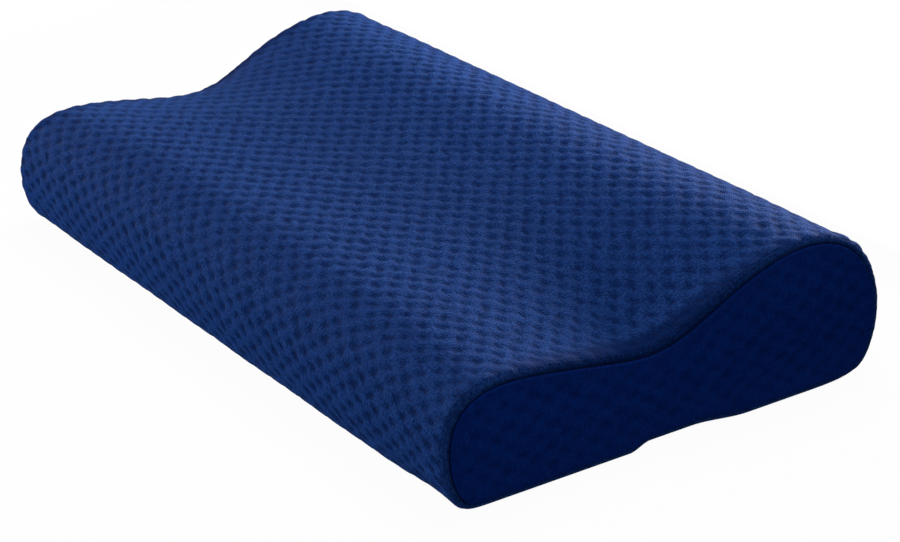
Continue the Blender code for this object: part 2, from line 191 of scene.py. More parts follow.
def cover_outlines():
    """The outline at the two ends, and where the cover is stretched over the cradle: (y, z) each."""
    control = UNDERSIDE + REAR_FACE + HIGH_LOBE + CRADLE + LOW_LOBE + FRONT_FACE
    lift = [0] * len(UNDERSIDE + REAR_FACE) + HIGH_LOBE_LIFT + CRADLE_LIFT
    lift += [0] * (len(control) - len(lift))
    y, z = (b_spline_loop(np.array(control, float), OUTLINE_STEPS) * MM).T
    rise = b_spline_loop(np.array([(0, up) for up in lift], float), OUTLINE_STEPS)[:, 1] * MM
    y = (y - (y.max() + y.min()) / 2) * DEPTH / np.ptp(y)
    scale = HEIGHT / ((z + rise).max() - z.min())
    z = (z - z.min()) * scale
    channel = smooth_step(y, *CHANNEL_FRONT) * smooth_step(y, *CHANNEL_REAR)
    z = z + CHANNEL_HEIGHT * channel * (z < HEIGHT / 4)
    first = int(np.argmin(np.where(z < HEIGHT / 4, np.abs(y), np.inf)))
    at_ends = np.roll(np.column_stack([y, z]), -first, axis=0)
    stretched = np.roll(np.column_stack([y, z + rise * scale]), -first, axis=0)
    return at_ends, stretched


OUTLINE, STRETCHED = cover_outlines()
STEP_LENGTHS = np.linalg.norm(np.roll(STRETCHED, -1, axis=0) - STRETCHED, axis=1)
ARC = np.concatenate([[0], np.cumsum(STEP_LENGTHS)])
GIRTH = ARC[-1]
CELL_ROUND = GIRTH / CELLS_ROUND


def ahead_of(loop):
    """The way the outline goes, per metre of s."""
    span = STEP_LENGTHS + np.roll(STEP_LENGTHS, 1)
    return (np.roll(loop, -1, axis=0) - np.roll(loop, 1, axis=0)) / span[:, None]


def at_arc(values, s):
    """A quantity known at the outline's points, at the places s."""
    closed = np.vstack([values, values[:1]])
    return np.column_stack([np.interp(s % GIRTH, ARC, column) for column in closed.T])


def even_places(count):
    """Places s at even steps round the outline."""
    return np.arange(count) * GIRTH / count


def held_down(u):
    """How far the cover is down on the cradle: 1 at the ends, 0 where it is stretched over it."""
    away = np.clip(HALF_FLAT - np.abs(u), 0, None)
    left = np.exp(-((away / DROP_LEFT[0]) ** DROP_LEFT[1]))
    right = np.exp(-((away / DROP_RIGHT[0]) ** DROP_RIGHT[1]))
    return np.where(u < 0, left, right)


def between(at_ends, in_middle, s, down):
    """An outline's quantity at s, by how far the cover is down on the cradle."""
    return down * at_arc(at_ends, s)[:, None] + (1 - down) * at_arc(in_middle, s)[:, None]


def layer_points(s, u, depth, zip_room=0.0, moulded=False):
    """Points of a layer: s is one place a row, u and depth are (rows, columns).

    A moulded layer follows the cradle all along; the others are stretched over it.
    """
    down = np.ones_like(depth) if moulded else np.broadcast_to(held_down(u), depth.shape)
    down = down[..., None]
    base = between(OUTLINE, STRETCHED, s, down)
    ahead = between(AHEAD_OUTLINE, AHEAD_STRETCHED, s, down)
    ahead = ahead / np.linalg.norm(ahead, axis=-1, keepdims=True)
    angle = np.clip(np.abs(u) - HALF_FLAT, 0, None) / EDGE_RADIUS
    reach = EDGE_RADIUS - depth
    x = np.sign(u) * (np.minimum(np.abs(u), HALF_FLAT) + reach * np.sin(angle))
    inset = EDGE_RADIUS - reach * np.cos(angle)
    y = base[..., 0] - ahead[..., 1] * inset
    z = base[..., 1] + ahead[..., 0] * inset
    lift = zip_room * smooth_step(np.abs(y), ZIP_ROOM_EDGE, ZIP_ROOM_FLAT)
    z = z + lift * (z < HEIGHT / 4)
    return np.stack([x, y, z], axis=-1)


AHEAD_OUTLINE, AHEAD_STRETCHED = ahead_of(OUTLINE), ahead_of(STRETCHED)


def ripple(seed, s, u, round_size, along_size, terms=16):
    """A smooth uneven field of about unit size, the same each run, that closes round the outline."""
    rng = np.random.default_rng(seed)
    total = 0
    for _ in range(terms):
        turns = round(rng.normal(0, GIRTH / round_size))
        across = rng.normal(0, 1 / along_size)
        phase = rng.uniform(0, 2 * math.pi)
        total = total + np.sin(2 * math.pi * (turns * s / GIRTH + across * u) + phase)
    return total * math.sqrt(2 / terms)


def bubbles(seed, s, u):
    """The bubble pattern's relief and tone: 0 in a recess, 1 on a bubble. The tone is partly painted
    shade.
    """
    s = s + 0.55 * MM * ripple(seed, s, u, 22 * MM, 30 * MM)
    u = u + 0.9 * MM * ripple(seed + 1, s, u, 9 * MM, 70 * MM)
    u = u + 0.6 * MM * ripple(seed + 2, s, u, 30 * MM, 25 * MM)
    round_it, along_it = np.cos(math.pi * s / CELL_ROUND), np.cos(math.pi * u / CELL_ALONG)
    uneven = 0.12 * ripple(seed + 3, s, u, 11 * MM, 15 * MM)
    relief = 0.5 + 0.5 * np.tanh(1.8 * (round_it * along_it + uneven + 0.15))
    # dark dashes along the rows: partly the knit's darker ground, partly painted shade on the bubbles'
    # shaded sides
    dashes = np.sign(round_it * along_it) * np.abs(round_it) ** 1.8 * np.abs(along_it) ** 0.75
    return relief, 0.5 + 0.5 * np.tanh(2.4 * (dashes + uneven + 0.33))


# ---------------------------------------------------------------- materials


def set_all(thing, **values):
    for key, value in values.items():
        setattr(thing, key, value)


def add_node(tree, kind, inputs=(), **settings):
    made = tree.nodes.new(kind)
    set_all(made, **settings)
    for key, value in dict(inputs).items():
        if isinstance(value, bpy.types.NodeSocket):
            tree.links.new(value, made.inputs[key])
        else:
            made.inputs[key].default_value = value
    return made


def math_node(tree, operation, first, second=0.0, third=0.0, clamp=False):
    inputs = {0: first, 1: second, 2: third}
    return add_node(tree, "ShaderNodeMath", inputs, operation=operation, use_clamp=clamp).outputs[0]


def noise(tree, coordinates, scale, detail=2.0, roughness=0.5, distortion=0.0):
    inputs = {"Vector": coordinates, "Scale": scale, "Detail": detail, "Roughness": roughness}
    inputs["Distortion"] = distortion
    return add_node(tree, "ShaderNodeTexNoise", inputs).outputs["Fac"]


def mix_colours(tree, factor, first, second, blend="MIX"):
    made = add_node(tree, "ShaderNodeMix", data_type="RGBA", blend_type=blend)
    for socket, value in ((made.inputs[0], factor), (made.inputs[6], first), (made.inputs[7], second)):
        if isinstance(value, bpy.types.NodeSocket):
            tree.links.new(value, socket)
        else:
            socket.default_value = value
    return made.outputs[2]


def scaled(tree, value, low, high):
    """value, from 0 to 1, drawn out to low to high."""
    return math_node(tree, "ADD", math_node(tree, "MULTIPLY", value, high - low), low)


def stretched_contrast(tree, value):
    """A noise, which stays close to 0.5, drawn out over 0 to 1."""
    return math_node(tree, "MULTIPLY_ADD", value, 3.0, third=-1.0, clamp=True)


def grey(tree, value):
    return add_node(tree, "ShaderNodeCombineColor", {0: value, 1: value, 2: value}).outputs[0]


def new_material(name, **sockets):
    """A Principled material, its tree and its shader; the sockets set are the same all over."""
    material = bpy.data.materials.new(name)
    material.use_nodes = True
    shader = material.node_tree.nodes["Principled BSDF"]
    for key, value in sockets.items():
        shader.inputs[key.replace("_", " ")].default_value = value
    return material, material.node_tree, shader


def object_place(tree):
    """The place on the pillow."""
    return add_node(tree, "ShaderNodeTexCoord").outputs["Object"]


def x_and_y(tree, place):
    return add_node(tree, "ShaderNodeSeparateXYZ", {0: place}).outputs[:2]


def dressed(look, colour, rough, bumps, tint=None):
    """Finishes a material: colour is (factor, first, second), rough and tint (value, low, high).

    bumps are (height, depth in metres), one over the other.
    """
    material, tree, shader = look
    colour = mix_colours(tree, *colour)
    if tint:
        colour = mix_colours(tree, 1.0, colour, grey(tree, scaled(tree, *tint)), "MULTIPLY")
    tree.links.new(colour, shader.inputs["Base Color"])
    tree.links.new(scaled(tree, *rough), shader.inputs["Roughness"])
    normal = None
    for height, depth in bumps:
        inputs = {"Height": height, "Distance": depth, "Strength": 1.0}
        if normal is not None:
            inputs["Normal"] = normal
        normal = add_node(tree, "ShaderNodeBump", inputs).outputs["Normal"]
    tree.links.new(normal, shader.inputs["Normal"])
    return material


def wave_of(tree, value, pitch, wobble=0.0):
    """0 to 1, once every pitch."""
    turn = math_node(tree, "MULTIPLY", value, 2 * math.pi / pitch)
    if wobble:
        turn = math_node(tree, "ADD", turn, wobble)
    return scaled(tree, math_node(tree, "SINE", turn), 0.5, 1.0)


def knit_material(name, bubble, recess, flecked, ribbing, rib_depth, sheen):
    """Bubble knit. The mesh carries the weave: places across and along it, and the tone, which holds
    painted shade.
    """
    look = new_material(
        name,
        Sheen_Weight=sheen,
        Sheen_Roughness=0.35,
        Sheen_Tint=(0.12, 0.40, 1.0, 1.0),
        Specular_IOR_Level=0.04,
    )
    tree = look[1]
    weave = add_node(tree, "ShaderNodeAttribute", attribute_name="weave").outputs["Vector"]
    across, along, tone = add_node(tree, "ShaderNodeSeparateXYZ", {0: weave}).outputs
    place = object_place(tree)
    patches = noise(tree, place, 55.0, 3.0)
    yarn = stretched_contrast(tree, noise(tree, place, 620.0, 1.0, 0.5))
    lint = noise(tree, place, 2600.0, 2.0, 0.7)
    wobble = math_node(tree, "MULTIPLY", noise(tree, place, 220.0, 2.0), 5.0)
    rib = wave_of(tree, across, RIB_PITCH, wobble)
    skew = math_node(tree, "MULTIPLY_ADD", rib, 2.6, third=wobble)
    loops = wave_of(tree, along, LOOP_PITCH, skew)
    stitch = math_node(tree, "MULTIPLY", math_node(tree, "ADD", rib, loops), 0.5)
    # recess to bubble colour by the tone: the darker recess colour is partly the knit's ground, partly
    # painted shade of the relief
    colour = mix_colours(tree, tone, recess, bubble)
    tint = scaled(tree, patches, 0.90, 1.10)
    # the stitches' low lines are darker: partly their own lines, partly painted shade
    tint = math_node(tree, "MULTIPLY", tint, scaled(tree, stitch, 1 - ribbing, 1 + ribbing))
    colour = mix_colours(tree, 1.0, colour, grey(tree, tint), "MULTIPLY")
    # yarn flecks at random: a yarn that stands up is paler, not only lighter, and a low one darker;
    # partly painted sheen and shade
    fleck = [[1 + flecked * (value - 1) for value in shade] for shade in (FLECK_DARK, FLECK_LIGHT_AND_SHEEN)]
    fleck = mix_colours(tree, yarn, *fleck)
    bumps = [(tone, 0.35 * MM), (yarn, rib_depth), (stitch, rib_depth), (lint, 0.10 * MM)]
    return dressed(look, (1.0, colour, fleck, "MULTIPLY"), (yarn, 0.74, 0.95), bumps)


def thread_material():
    sheen = dict(Sheen_Weight=0.05, Sheen_Roughness=0.4, Sheen_Tint=(0.3, 0.5, 1.0, 1.0))
    look = new_material("seam_thread_look", Specular_IOR_Level=0.15, **sheen)
    fibre = noise(look[1], object_place(look[1]), 1800.0, 3.0, 0.6, 1.0)
    colour = (fibre, (0.001, 0.005, 0.040, 1), (0.004, 0.014, 0.09, 1))
    return dressed(look, colour, (fibre, 0.55, 0.8), [(fibre, 0.15 * MM)])


def tape_material():
    """Woven zip tape: fine ribs across and a herringbone."""
    look = new_material("zip_tape_look", Sheen_Weight=0.2, Specular_IOR_Level=0.3)
    tree = look[1]
    place = object_place(tree)
    x, y = x_and_y(tree, place)
    slant = math_node(tree, "PINGPONG", y, 1.1 * MM)
    twill = wave_of(tree, math_node(tree, "ADD", x, slant), 0.7 * MM)
    fibre = noise(tree, place, 2200.0, 2.0)
    # darker in the twill's low lines: partly the weave's pattern, partly painted shade
    colour = (twill, (0.007, 0.018, 0.085, 1), (0.016, 0.040, 0.17, 1))
    bumps = [(twill, 0.12 * MM), (fibre, 0.08 * MM)]
    return dressed(look, colour, (fibre, 0.75, 0.95), bumps, (fibre, 0.75, 1.25))


def coil_material():
    look = new_material("zip_coil_look", Specular_IOR_Level=0.5, Coat_Weight=0.15)
    place = object_place(look[1])
    mottle = noise(look[1], place, 300.0, 3.0)
    colour = (mottle, (0.008, 0.020, 0.095, 1), (0.018, 0.044, 0.19, 1))
    return dressed(look, colour, (mottle, 0.28, 0.45), [(noise(look[1], place, 1500.0), 0.02 * MM)])


def metal_material():
    """Gunmetal plating, worn brighter where it rubs."""
    look = new_material("zip_metal_look", Metallic=0.95, Anisotropic=0.3)
    tree = look[1]
    place = object_place(tree)
    wear = noise(tree, place, 420.0, 4.0, 0.65)
    drawn = add_node(tree, "ShaderNodeMapping", {"Vector": place, "Scale": (0.15, 1.0, 1.0)})
    brushed = noise(tree, drawn.outputs[0], 3000.0, 2.0)
    colour = (wear, (0.10, 0.11, 0.13, 1), (0.24, 0.25, 0.28, 1))
    return dressed(look, colour, (brushed, 0.22, 0.42), [(brushed, 0.02 * MM)])


def foam_material():
    soft = dict(Subsurface_Weight=0.1, Subsurface_Scale=2 * MM)
    look = new_material("memory_foam_look", Specular_IOR_Level=0.2, **soft)
    tree = look[1]
    place = object_place(tree)
    pores = add_node(tree, "ShaderNodeTexVoronoi", {"Vector": place, "Scale": 900.0})
    pores = pores.outputs["Distance"]
    patches = noise(tree, place, 18.0, 4.0)
    colour = (patches, (0.80, 0.73, 0.54, 1), (0.86, 0.81, 0.66, 1))
    # the pores are tinted darker: painted shade in them
    return dressed(look, colour, (patches, 0.88, 0.98), [(pores, 0.25 * MM)], (pores, 0.82, 1.08))


def liner_material():
    """Thin white jersey: fine ribs and fluff."""
    look = new_material("liner_jersey_look", Sheen_Weight=0.15, Specular_IOR_Level=0.2)
    place = object_place(look[1])
    x = x_and_y(look[1], place)[0]
    rib = wave_of(look[1], x, 0.9 * MM)
    fluff = noise(look[1], place, 1400.0, 3.0)
    # darker in the ribs' valleys: partly the jersey's ribs, partly painted shade
    colour = (rib, (0.66, 0.66, 0.64, 1), (0.82, 0.82, 0.80, 1))
    bumps = [(rib, 0.12 * MM), (fluff, 0.1 * MM)]
    return dressed(look, colour, (fluff, 0.85, 0.98), bumps, (fluff, 0.88, 1.08))


def label_material():
    """Blank white satin ribbon."""
    look = new_material("label_satin_look", Sheen_Weight=0.2, Anisotropic=0.4)
    place = object_place(look[1])
    x, y = x_and_y(look[1], place)
    weft, warp = wave_of(look[1], x, 0.32 * MM), wave_of(look[1], y, 0.24 * MM)
    fibre = noise(look[1], place, 500.0, 3.0)
    colour = (fibre, (0.78, 0.78, 0.76, 1), (0.88, 0.88, 0.86, 1))
    return dressed(look, colour, (fibre, 0.42, 0.62), [(weft, 0.03 * MM), (warp, 0.03 * MM)])


# ---------------------------------------------------------------- mesh helpers


def new_object(name, data):
    obj = bpy.data.objects.new(name, data)
    bpy.context.scene.collection.objects.link(obj)
    return obj


def new_mesh(name, points, faces, material=None):
    data = bpy.data.meshes.new(name)
    data.from_pydata(np.asarray(points, float).tolist(), [], [list(map(int, f)) for f in faces])
    if material:
        data.materials.append(material)
    return data


def add_piece(name, points, faces, material, nodes, slot, body="pillow"):
    """A mesh object that rides on a body and stands for CAD nodes."""
    data = new_mesh(name, points, faces, material)
    data.shade_smooth()
    obj = new_object(name, data)
    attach(obj, body)
    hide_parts(*nodes)
    return obj


def turned_outward(data, merged=0.0, sharp_above=0.0):
    """Turns a mesh's faces outward. Merges points this close; keeps edges this sharp, in degrees."""
    mesh = bmesh.new()
    mesh.from_mesh(data)
    if merged:
        bmesh.ops.remove_doubles(mesh, verts=mesh.verts, dist=merged)
    bmesh.ops.recalc_face_normals(mesh, faces=mesh.faces)
    mesh.to_mesh(data)
    mesh.free()
    data.shade_smooth()
    if sharp_above:
        data.set_sharp_from_angle(angle=math.radians(sharp_above))


def points_and_faces(mesh):
    """A bmesh as (points, faces); the bmesh is freed."""
    mesh.verts.index_update()
    points = np.array([v.co for v in mesh.verts])
    faces = [[v.index for v in f.verts] for f in mesh.faces]
    mesh.free()
    return points, faces


def only_used(points, faces, *more):
    """Drops the points that no face uses; more are arrays that go with the points."""
    used = np.unique(np.concatenate([np.asarray(f).ravel() for f in faces]))
    number = np.full(len(points), -1)
    number[used] = np.arange(len(used))
    return points[used], [number[np.asarray(f)] for f in faces], [m[used] for m in more]


def grid_faces(rows, columns):
    """Quads of a grid, (rows - 1, columns - 1, 4)."""
    index = np.arange(rows * columns).reshape(rows, columns)
    return np.stack([index[:-1, :-1], index[1:, :-1], index[1:, 1:], index[:-1, 1:]], axis=-1)


def band_faces(rows, columns):
    """Quads of a grid whose last row meets its first."""
    index = np.arange(rows * columns).reshape(rows, columns)
    ahead = np.roll(index, -1, axis=0)
    quads = np.stack([index[:, :-1], ahead[:, :-1], ahead[:, 1:], index[:, 1:]], axis=-1)
    return quads.reshape(-1, 4).tolist()


def ring_faces(rings, sides, capped=False):
    """Quads between rings of points that follow each other in the list, and a cap at each end."""
    index = np.arange(rings * sides).reshape(rings, sides)
    beside = np.roll(index, -1, axis=1)
    quads = np.stack([index[:-1], beside[:-1], beside[1:], index[1:]], axis=-1)
    caps = [index[0, ::-1].tolist(), index[-1].tolist()] if capped else []
    return quads.reshape(-1, 4).tolist() + caps


def tube(path, radii, sides, side_way):
    """A capped tube along a path. side_way isn't along the path: one direction, or one a point."""
    path = np.asarray(path, float)
    radii = np.broadcast_to(radii, len(path))
    ahead = np.gradient(path, axis=0)
    ahead /= np.linalg.norm(ahead, axis=1)[:, None]
    first = np.broadcast_to(side_way, path.shape)
    first = first - (first * ahead).sum(axis=1)[:, None] * ahead
    first /= np.linalg.norm(first, axis=1)[:, None]
    second = np.cross(ahead, first)
    turn = np.arange(sides) * 2 * math.pi / sides
    ring = np.cos(turn)[None, :, None] * first[:, None] + np.sin(turn)[None, :, None] * second[:, None]
    points = path[:, None] + radii[:, None, None] * ring
    return points.reshape(-1, 3), ring_faces(len(path), sides, capped=True)


def joined(shapes):
    """Several (points, faces) as one."""
    points, faces, start = [], [], 0
    for shape_points, shape_faces in shapes:
        points.append(shape_points)
        faces += [[i + start for i in face] for face in shape_faces]
        start += len(shape_points)
    return np.vstack(points), faces


def stitches(loop, outward, length, gap, radius, bow):
    """Separate stitches along a closed path. Each rises by bow, and dips in at its ends."""
    loop = np.vstack([loop, loop[:1]])
    outward = np.vstack([outward, outward[:1]])
    arc = np.concatenate([[0], np.cumsum(np.linalg.norm(np.diff(loop, axis=0), axis=1))])
    count = round(arc[-1] / (length + gap))
    share = np.array([0, 0.12, 0.35, 0.65, 0.88, 1.0])
    thick = np.array([0.35, 0.85, 1.0, 1.0, 0.85, 0.35]) * radius
    rise = np.array([-1.0, -0.1, 0.9, 0.9, -0.1, -1.0]) * bow
    shapes = []
    for number in range(count):
        at = (number + share * length / (length + gap)) * arc[-1] / count
        path = np.column_stack([np.interp(at, arc, c) for c in loop.T])
        way = np.column_stack([np.interp(at, arc, c) for c in outward.T])
        shapes.append(tube(path + way * rise[:, None], thick, 6, way))
    return joined(shapes)


def rounded_rectangle(length, width, radius, steps, middle=(0.0, 0.0)):
    """Its (x, y) points, with steps to a corner."""
    points = []
    for corner, (side_x, side_y) in enumerate(((1, 1), (-1, 1), (-1, -1), (1, -1))):
        for step in range(steps + 1):
            angle = (corner + step / steps) * math.pi / 2
            x = middle[0] + side_x * (length / 2 - radius) + radius * math.cos(angle)
            y = middle[1] + side_y * (width / 2 - radius) + radius * math.sin(angle)
            points.append((x, y))
    return np.array(points)


def inside_polygon(points, polygon):
    """Which points are inside, by crossings of a ray along the first axis."""
    inside = np.zeros(len(points), bool)
    for (ax, ay), (bx, by) in zip(polygon, np.roll(polygon, -1, axis=0)):
        if ay == by:
            continue
        crosses = (points[:, 1] < ay) != (points[:, 1] < by)
        inside ^= crosses & (points[:, 0] < ax + (points[:, 1] - ay) * (bx - ax) / (by - ay))
    return inside


def distances(points, polygon):
    """How far each point is from the nearest of the polygon's points."""
    return np.array([np.min(np.hypot(*(polygon - point).T)) for point in points])


def fill_polygon(polygon, spacing):
    """Triangles over a polygon: its own points first, then rows of points inside."""
    low, high = polygon.min(axis=0), polygon.max(axis=0)
    rows = np.arange(low[1], high[1], spacing[1])
    across = np.arange(low[0], high[0], spacing[0])
    y, z = np.meshgrid(across, rows)
    y = y + (np.arange(len(rows)) % 2)[:, None] * spacing[0] / 2
    field = np.column_stack([y.ravel(), z.ravel()])
    field = field[inside_polygon(field, polygon)]
    field = field[distances(field, polygon) > 0.6 * min(spacing)]
    points = np.vstack([polygon, field])
    edge = [list(range(len(polygon)))]
    found = delaunay_2d_cdt([Vector(p) for p in points], [], edge, 0, 1e-7, True)
    names = np.array([ids[0] for ids in found[3]])
    faces = names[np.array([list(face) for face in found[2]])]
    within = inside_polygon(points[faces].mean(axis=1), polygon)
    return points, faces[within].tolist()


def is_counterclockwise(points, face):
    a, b, c = (points[i] for i in face[:3])
    return (b[0] - a[0]) * (c[1] - a[1]) - (b[1] - a[1]) * (c[0] - a[0]) > 0


def end_cap(side, rings, spacing, standing):
    """An end: (places, rings, 3) points of its edge, with a panel filled in: (points, faces, away).

    standing(field, away) is how far the panel's points stand beyond the pillow's flat end, by
    their places (y, z) and how far away they are from the panel's edge.
    """
    count, rows = rings.shape[:2]
    edge = rings[:, -1, 1:]
    points, triangles = fill_polygon(edge, spacing)
    field = points[count:]
    away = distances(field, edge)
    inner = np.column_stack([side * (LENGTH / 2 + standing(field, away)), field])
    way = 1 if is_counterclockwise(points, triangles[0]) else -1
    shift = (rows - 1) * count
    faces = ring_faces(rows, count) + [[i + shift for i in face[::way]] for face in triangles]
    if side < 0:
        faces = [face[::-1] for face in faces]
    return np.vstack([rings.transpose(1, 0, 2).reshape(-1, 3), inner]), faces, away


# ---------------------------------------------------------------- cover


def round_places(uniform):
    """Places s of the rows round the outline, finer next to the closing seam and the zip slot."""
    near = np.array([0, 0.25, 0.6, 1.2, 2.2, 3.6, 5.2]) * MM
    middle = np.linspace(SLOT_HALF_WIDTH, GIRTH - SLOT_HALF_WIDTH, uniform)
    return np.concatenate([near, middle, GIRTH - near[::-1]])


def length_places():
    """Places u of the columns along the length, finer next to the end seams."""
    near = np.array([8.4, 6.8, 5.7, 4.95, 4.3, 3.6, 2.8, 2.1, 1.5, 1.05, 0.7, 0.4, 0.15, 0]) * MM
    slot = np.linspace(-SLOT_HALF_LENGTH, SLOT_HALF_LENGTH, 199)
    beyond = np.linspace(SLOT_HALF_LENGTH, HALF_SPAN - near[0], 23)[1:]
    right = np.concatenate([beyond, HALF_SPAN - near[1:]])
    return np.concatenate([-right[::-1], slot, right])


def seam_groove(away):
    """How deep the fabric pulls in at an end seam, by distance from it."""
    return 2.0 * MM * hump(away, 0, 0.55 * MM) + 0.25 * MM * hump(away, 0, 2.0 * MM)


def pucker(seed, s, away):
    """Small gathers along an end seam, that die out away from it."""
    gathers = ripple(seed, s, 0 * s, 9 * MM, 1.0)
    uneven = 0.55 + 0.45 * ripple(seed + 1, s, 0 * s, 60 * MM, 1.0)
    return 0.16 * MM * gathers * np.clip(uneven, 0, 1.2) * np.exp(-away / (7 * MM))


def bridged_share(s):
    """How far the cover is lifted off the cradle at s, as a share of the most it is."""
    rise = at_arc(STRETCHED - OUTLINE, s)[:, 1]
    return np.clip(rise / (STRETCHED - OUTLINE)[:, 1].max(), 0, 1)


def from_closing_seam(s):
    """How far round the outline s is from the closing seam."""
    return np.minimum(s, GIRTH - s)


def rests_down(s):
    """1 on the underside, 0 elsewhere."""
    return smooth_step(at_arc(AHEAD_STRETCHED, s)[:, 0], 0.8, 0.97)


def cover_depth(s, u, swell):
    """The long panel's fabric at (s, u): its depth under the CAD surface, and its pattern's tone, with
    painted shade.
    """
    s_grid, u_grid = np.meshgrid(s, u, indexing="ij")
    away = HALF_SPAN - np.abs(u_grid)  # from the nearer end seam
    closing = from_closing_seam(s_grid)
    upright = 1 - rests_down(s)[:, None]
    on_top = smooth_step(-at_arc(AHEAD_STRETCHED, s)[:, 0], 0.1, 0.8)[:, None]
    over_cradle = bridged_share(s)[:, None]
    y, z = (axis[:, None] for axis in at_arc(STRETCHED, s).T)
    # the bubbles fade at the seams and the slot, and are flatter at the foot
    relief, tone = bubbles(11, s_grid, u_grid)
    fade = smooth_step(away, *BUBBLES_START)
    fade = fade * (1 - (1 - upright) * (1 - smooth_step(away, *BUBBLES_START_UNDER)))
    from_slot = np.hypot(
        np.clip(closing - SLOT_HALF_WIDTH, 0, None),
        np.clip(np.abs(u_grid) - SLOT_HALF_LENGTH, 0, None),
    )
    fade = fade * smooth_step(from_slot, 0.5 * MM, 5 * MM)
    foot = smooth_step(z, *FOOT) * upright
    depth = RELIEF * (1 - 0.5 * foot) * (1 - relief) * fade + FLAT_DEPTH * (1 - fade)
    # the end seams, and the soft roll beside them
    depth += seam_groove(away)
    depth += WELT_DEPTH * hump(s_grid, *WELT) * hump(away, 4.2 * MM, 0.6 * MM)
    depth += pucker(41, s_grid, away) * upright
    on_face = PUFF_UPRIGHT + (1 - PUFF_UPRIGHT) * on_top
    puff = (PUFF[0] + (PUFF[1] - PUFF[0]) * over_cradle) * on_face
    puff = puff * np.where(u_grid < 0, PUFF_LEFT, 1)
    crest = PUFF_AWAY[0] + (PUFF_AWAY[1] - PUFF_AWAY[0]) * over_cradle
    depth -= puff * hump(away, crest, PUFF_WIDTH) * upright
    depth -= SQUARED * on_face * hump(away, 4.6 * MM, 3.4 * MM) * upright
    # the larger form: fuller in the middle, drawn in at the front foot, uneven, and swollen
    depth -= FULLER * on_face * smooth_step(away, 0, 90 * MM) * upright
    front_foot = smooth_step(z, 32 * MM, 6 * MM) * (y < 0) * upright
    tucked = TUCKED * front_foot * hump(away, 34 * MM, 26 * MM)
    depth += tucked * np.where(u_grid < 0, TUCKED_LEFT, 1)
    depth -= UNEVEN * ripple(51, s_grid, u_grid, 90 * MM, 140 * MM) * upright
    depth -= swell * upright
    # the stitching round the slot, and the closing seam beyond its ends
    sewn = np.abs(from_slot - STITCH_MARGIN)
    depth += SEWN_DEPTH * hump(sewn, 0, 0.8 * MM) * (closing < 16 * MM)
    beyond = smooth_step(np.abs(u_grid), SLOT_HALF_LENGTH - 1 * MM, SLOT_HALF_LENGTH + 2 * MM)
    beyond = beyond * smooth_step(away, 6 * MM, 14 * MM)
    depth += CLOSING_DEPTH * hump(closing, 0, 1.2 * MM) * beyond
    # stretched over the cradle the knit has less contrast and is painted darker, on the front and rear it
    # has more contrast: painted shade
    taut_and_shaded = over_cradle * (1 - held_down(u)[None, :])
    tone = tone + (0.55 * (1 - on_top) - 0.36 * taut_and_shaded) * (tone - 0.68) - 0.12 * taut_and_shaded
    # painted shade: a dark band along the end seams where the cover drops to the cradle
    at_cradle = np.sqrt(over_cradle)
    band = smooth_step(away, SEAM_SHADE_BAND + 4 * MM, SEAM_SHADE_BAND - 4 * MM) * at_cradle
    tone = np.clip(tone + (SEAM_SHADE_TONE - tone) * band, SEAM_SHADE_TONE, 1.2)
    # next to the seam the tone evens out, and over the cradle goes dark: painted shade
    by_seam = smooth_step(away, 8 * MM, 1 * MM)
    tone = tone * (1 - by_seam) + (0.75 - 0.85 * at_cradle) * by_seam
    # where the fabric sinks deeper than the relief, in the seam groove and seams, its tone is darker:
    # painted shade
    crease_shade = np.clip((depth - RELIEF) / RELIEF, 0, 1)
    return depth, tone * (1 - 0.9 * crease_shade)


def store_weave(obj, across, along, tone):
    """What the knit's material reads at each point: its place in the weave, and its tone."""
    weave = obj.data.attributes.new("weave", "FLOAT_VECTOR", "POINT")
    weave.data.foreach_set("vector", np.column_stack([across, along, tone]).astype(np.float32).ravel())


def slot_hem(points, rows, columns, first_row, first_column):
    """The slot's edge, by index, and rings of new points where it is turned up into the pillow."""
    index = np.arange(rows * columns).reshape(rows, columns)
    top, bottom = first_row, rows - 1 - first_row
    left, right = first_column, columns - 1 - first_column
    # the rows of the slot run from the last row on to the first, across the closing seam
    parts = [index[top, left : right + 1], index[top - 1 :: -1, right]]
    parts += [index[rows - 2 : bottom - 1 : -1, right], index[bottom, right - 1 : left - 1 : -1]]
    parts += [index[bottom + 1 : rows - 1, left], index[0:top, left]]
    loop = np.concatenate(parts)
    edge = points[loop]
    limits = np.array([SLOT_HALF_LENGTH, SLOT_HALF_WIDTH]) - 0.5 * MM
    inward = np.where(np.abs(edge[:, :2]) > limits, -np.sign(edge[:, :2]), 0)
    turned = []
    for reach, height in HEM:
        flat = edge[:, :2] + inward * reach
        turned.append(np.column_stack([flat, np.full(len(loop), height)]))
    return loop, turned


def b_spline_at(values, place, mode):
    """Rows of values at places between them, in steps of one row, smoothly."""
    whole = np.floor(place).astype(int)
    weights = b_spline_weights((place - whole)[:, None])
    rows = [np.take(values, whole + i - 1, axis=0, mode=mode) for i in range(4)]
    return sum(weight * row for weight, row in zip(weights, rows)) / 6


def closed_lattice():
    """A coarse closed form of the cover: parts of its points, its faces, and which are held."""
    s = even_places(SWELL_ROUND)
    u = np.linspace(-HALF_SPAN, HALF_SPAN, SWELL_ALONG)
    flat = np.zeros((SWELL_ROUND, SWELL_ALONG))
    grid = layer_points(s, flat + u, flat)
    index = np.arange(flat.size).reshape(flat.shape)
    held = np.maximum(flat, rests_down(s)[:, None] > 0.5)
    held[:, [0, -1]] = 1
    points, faces, pinned = [grid.reshape(-1, 3)], band_faces(*flat.shape), [held.ravel()]
    for column in (0, -1):
        ring = grid[:, column]
        filled, triangles = fill_polygon(ring[:, 1:], (SWELL_CELL, SWELL_CELL))
        inner = filled[len(ring) :]
        start = sum(len(part) for part in points)
        number = np.concatenate([index[:, column], start + np.arange(len(inner))])
        faces += number[np.array(triangles)].tolist()
        points.append(np.column_stack([np.full(len(inner), ring[:, 0].mean()), inner]))
        pinned.append(np.zeros(len(inner)))
    return points, faces, np.concatenate(pinned)


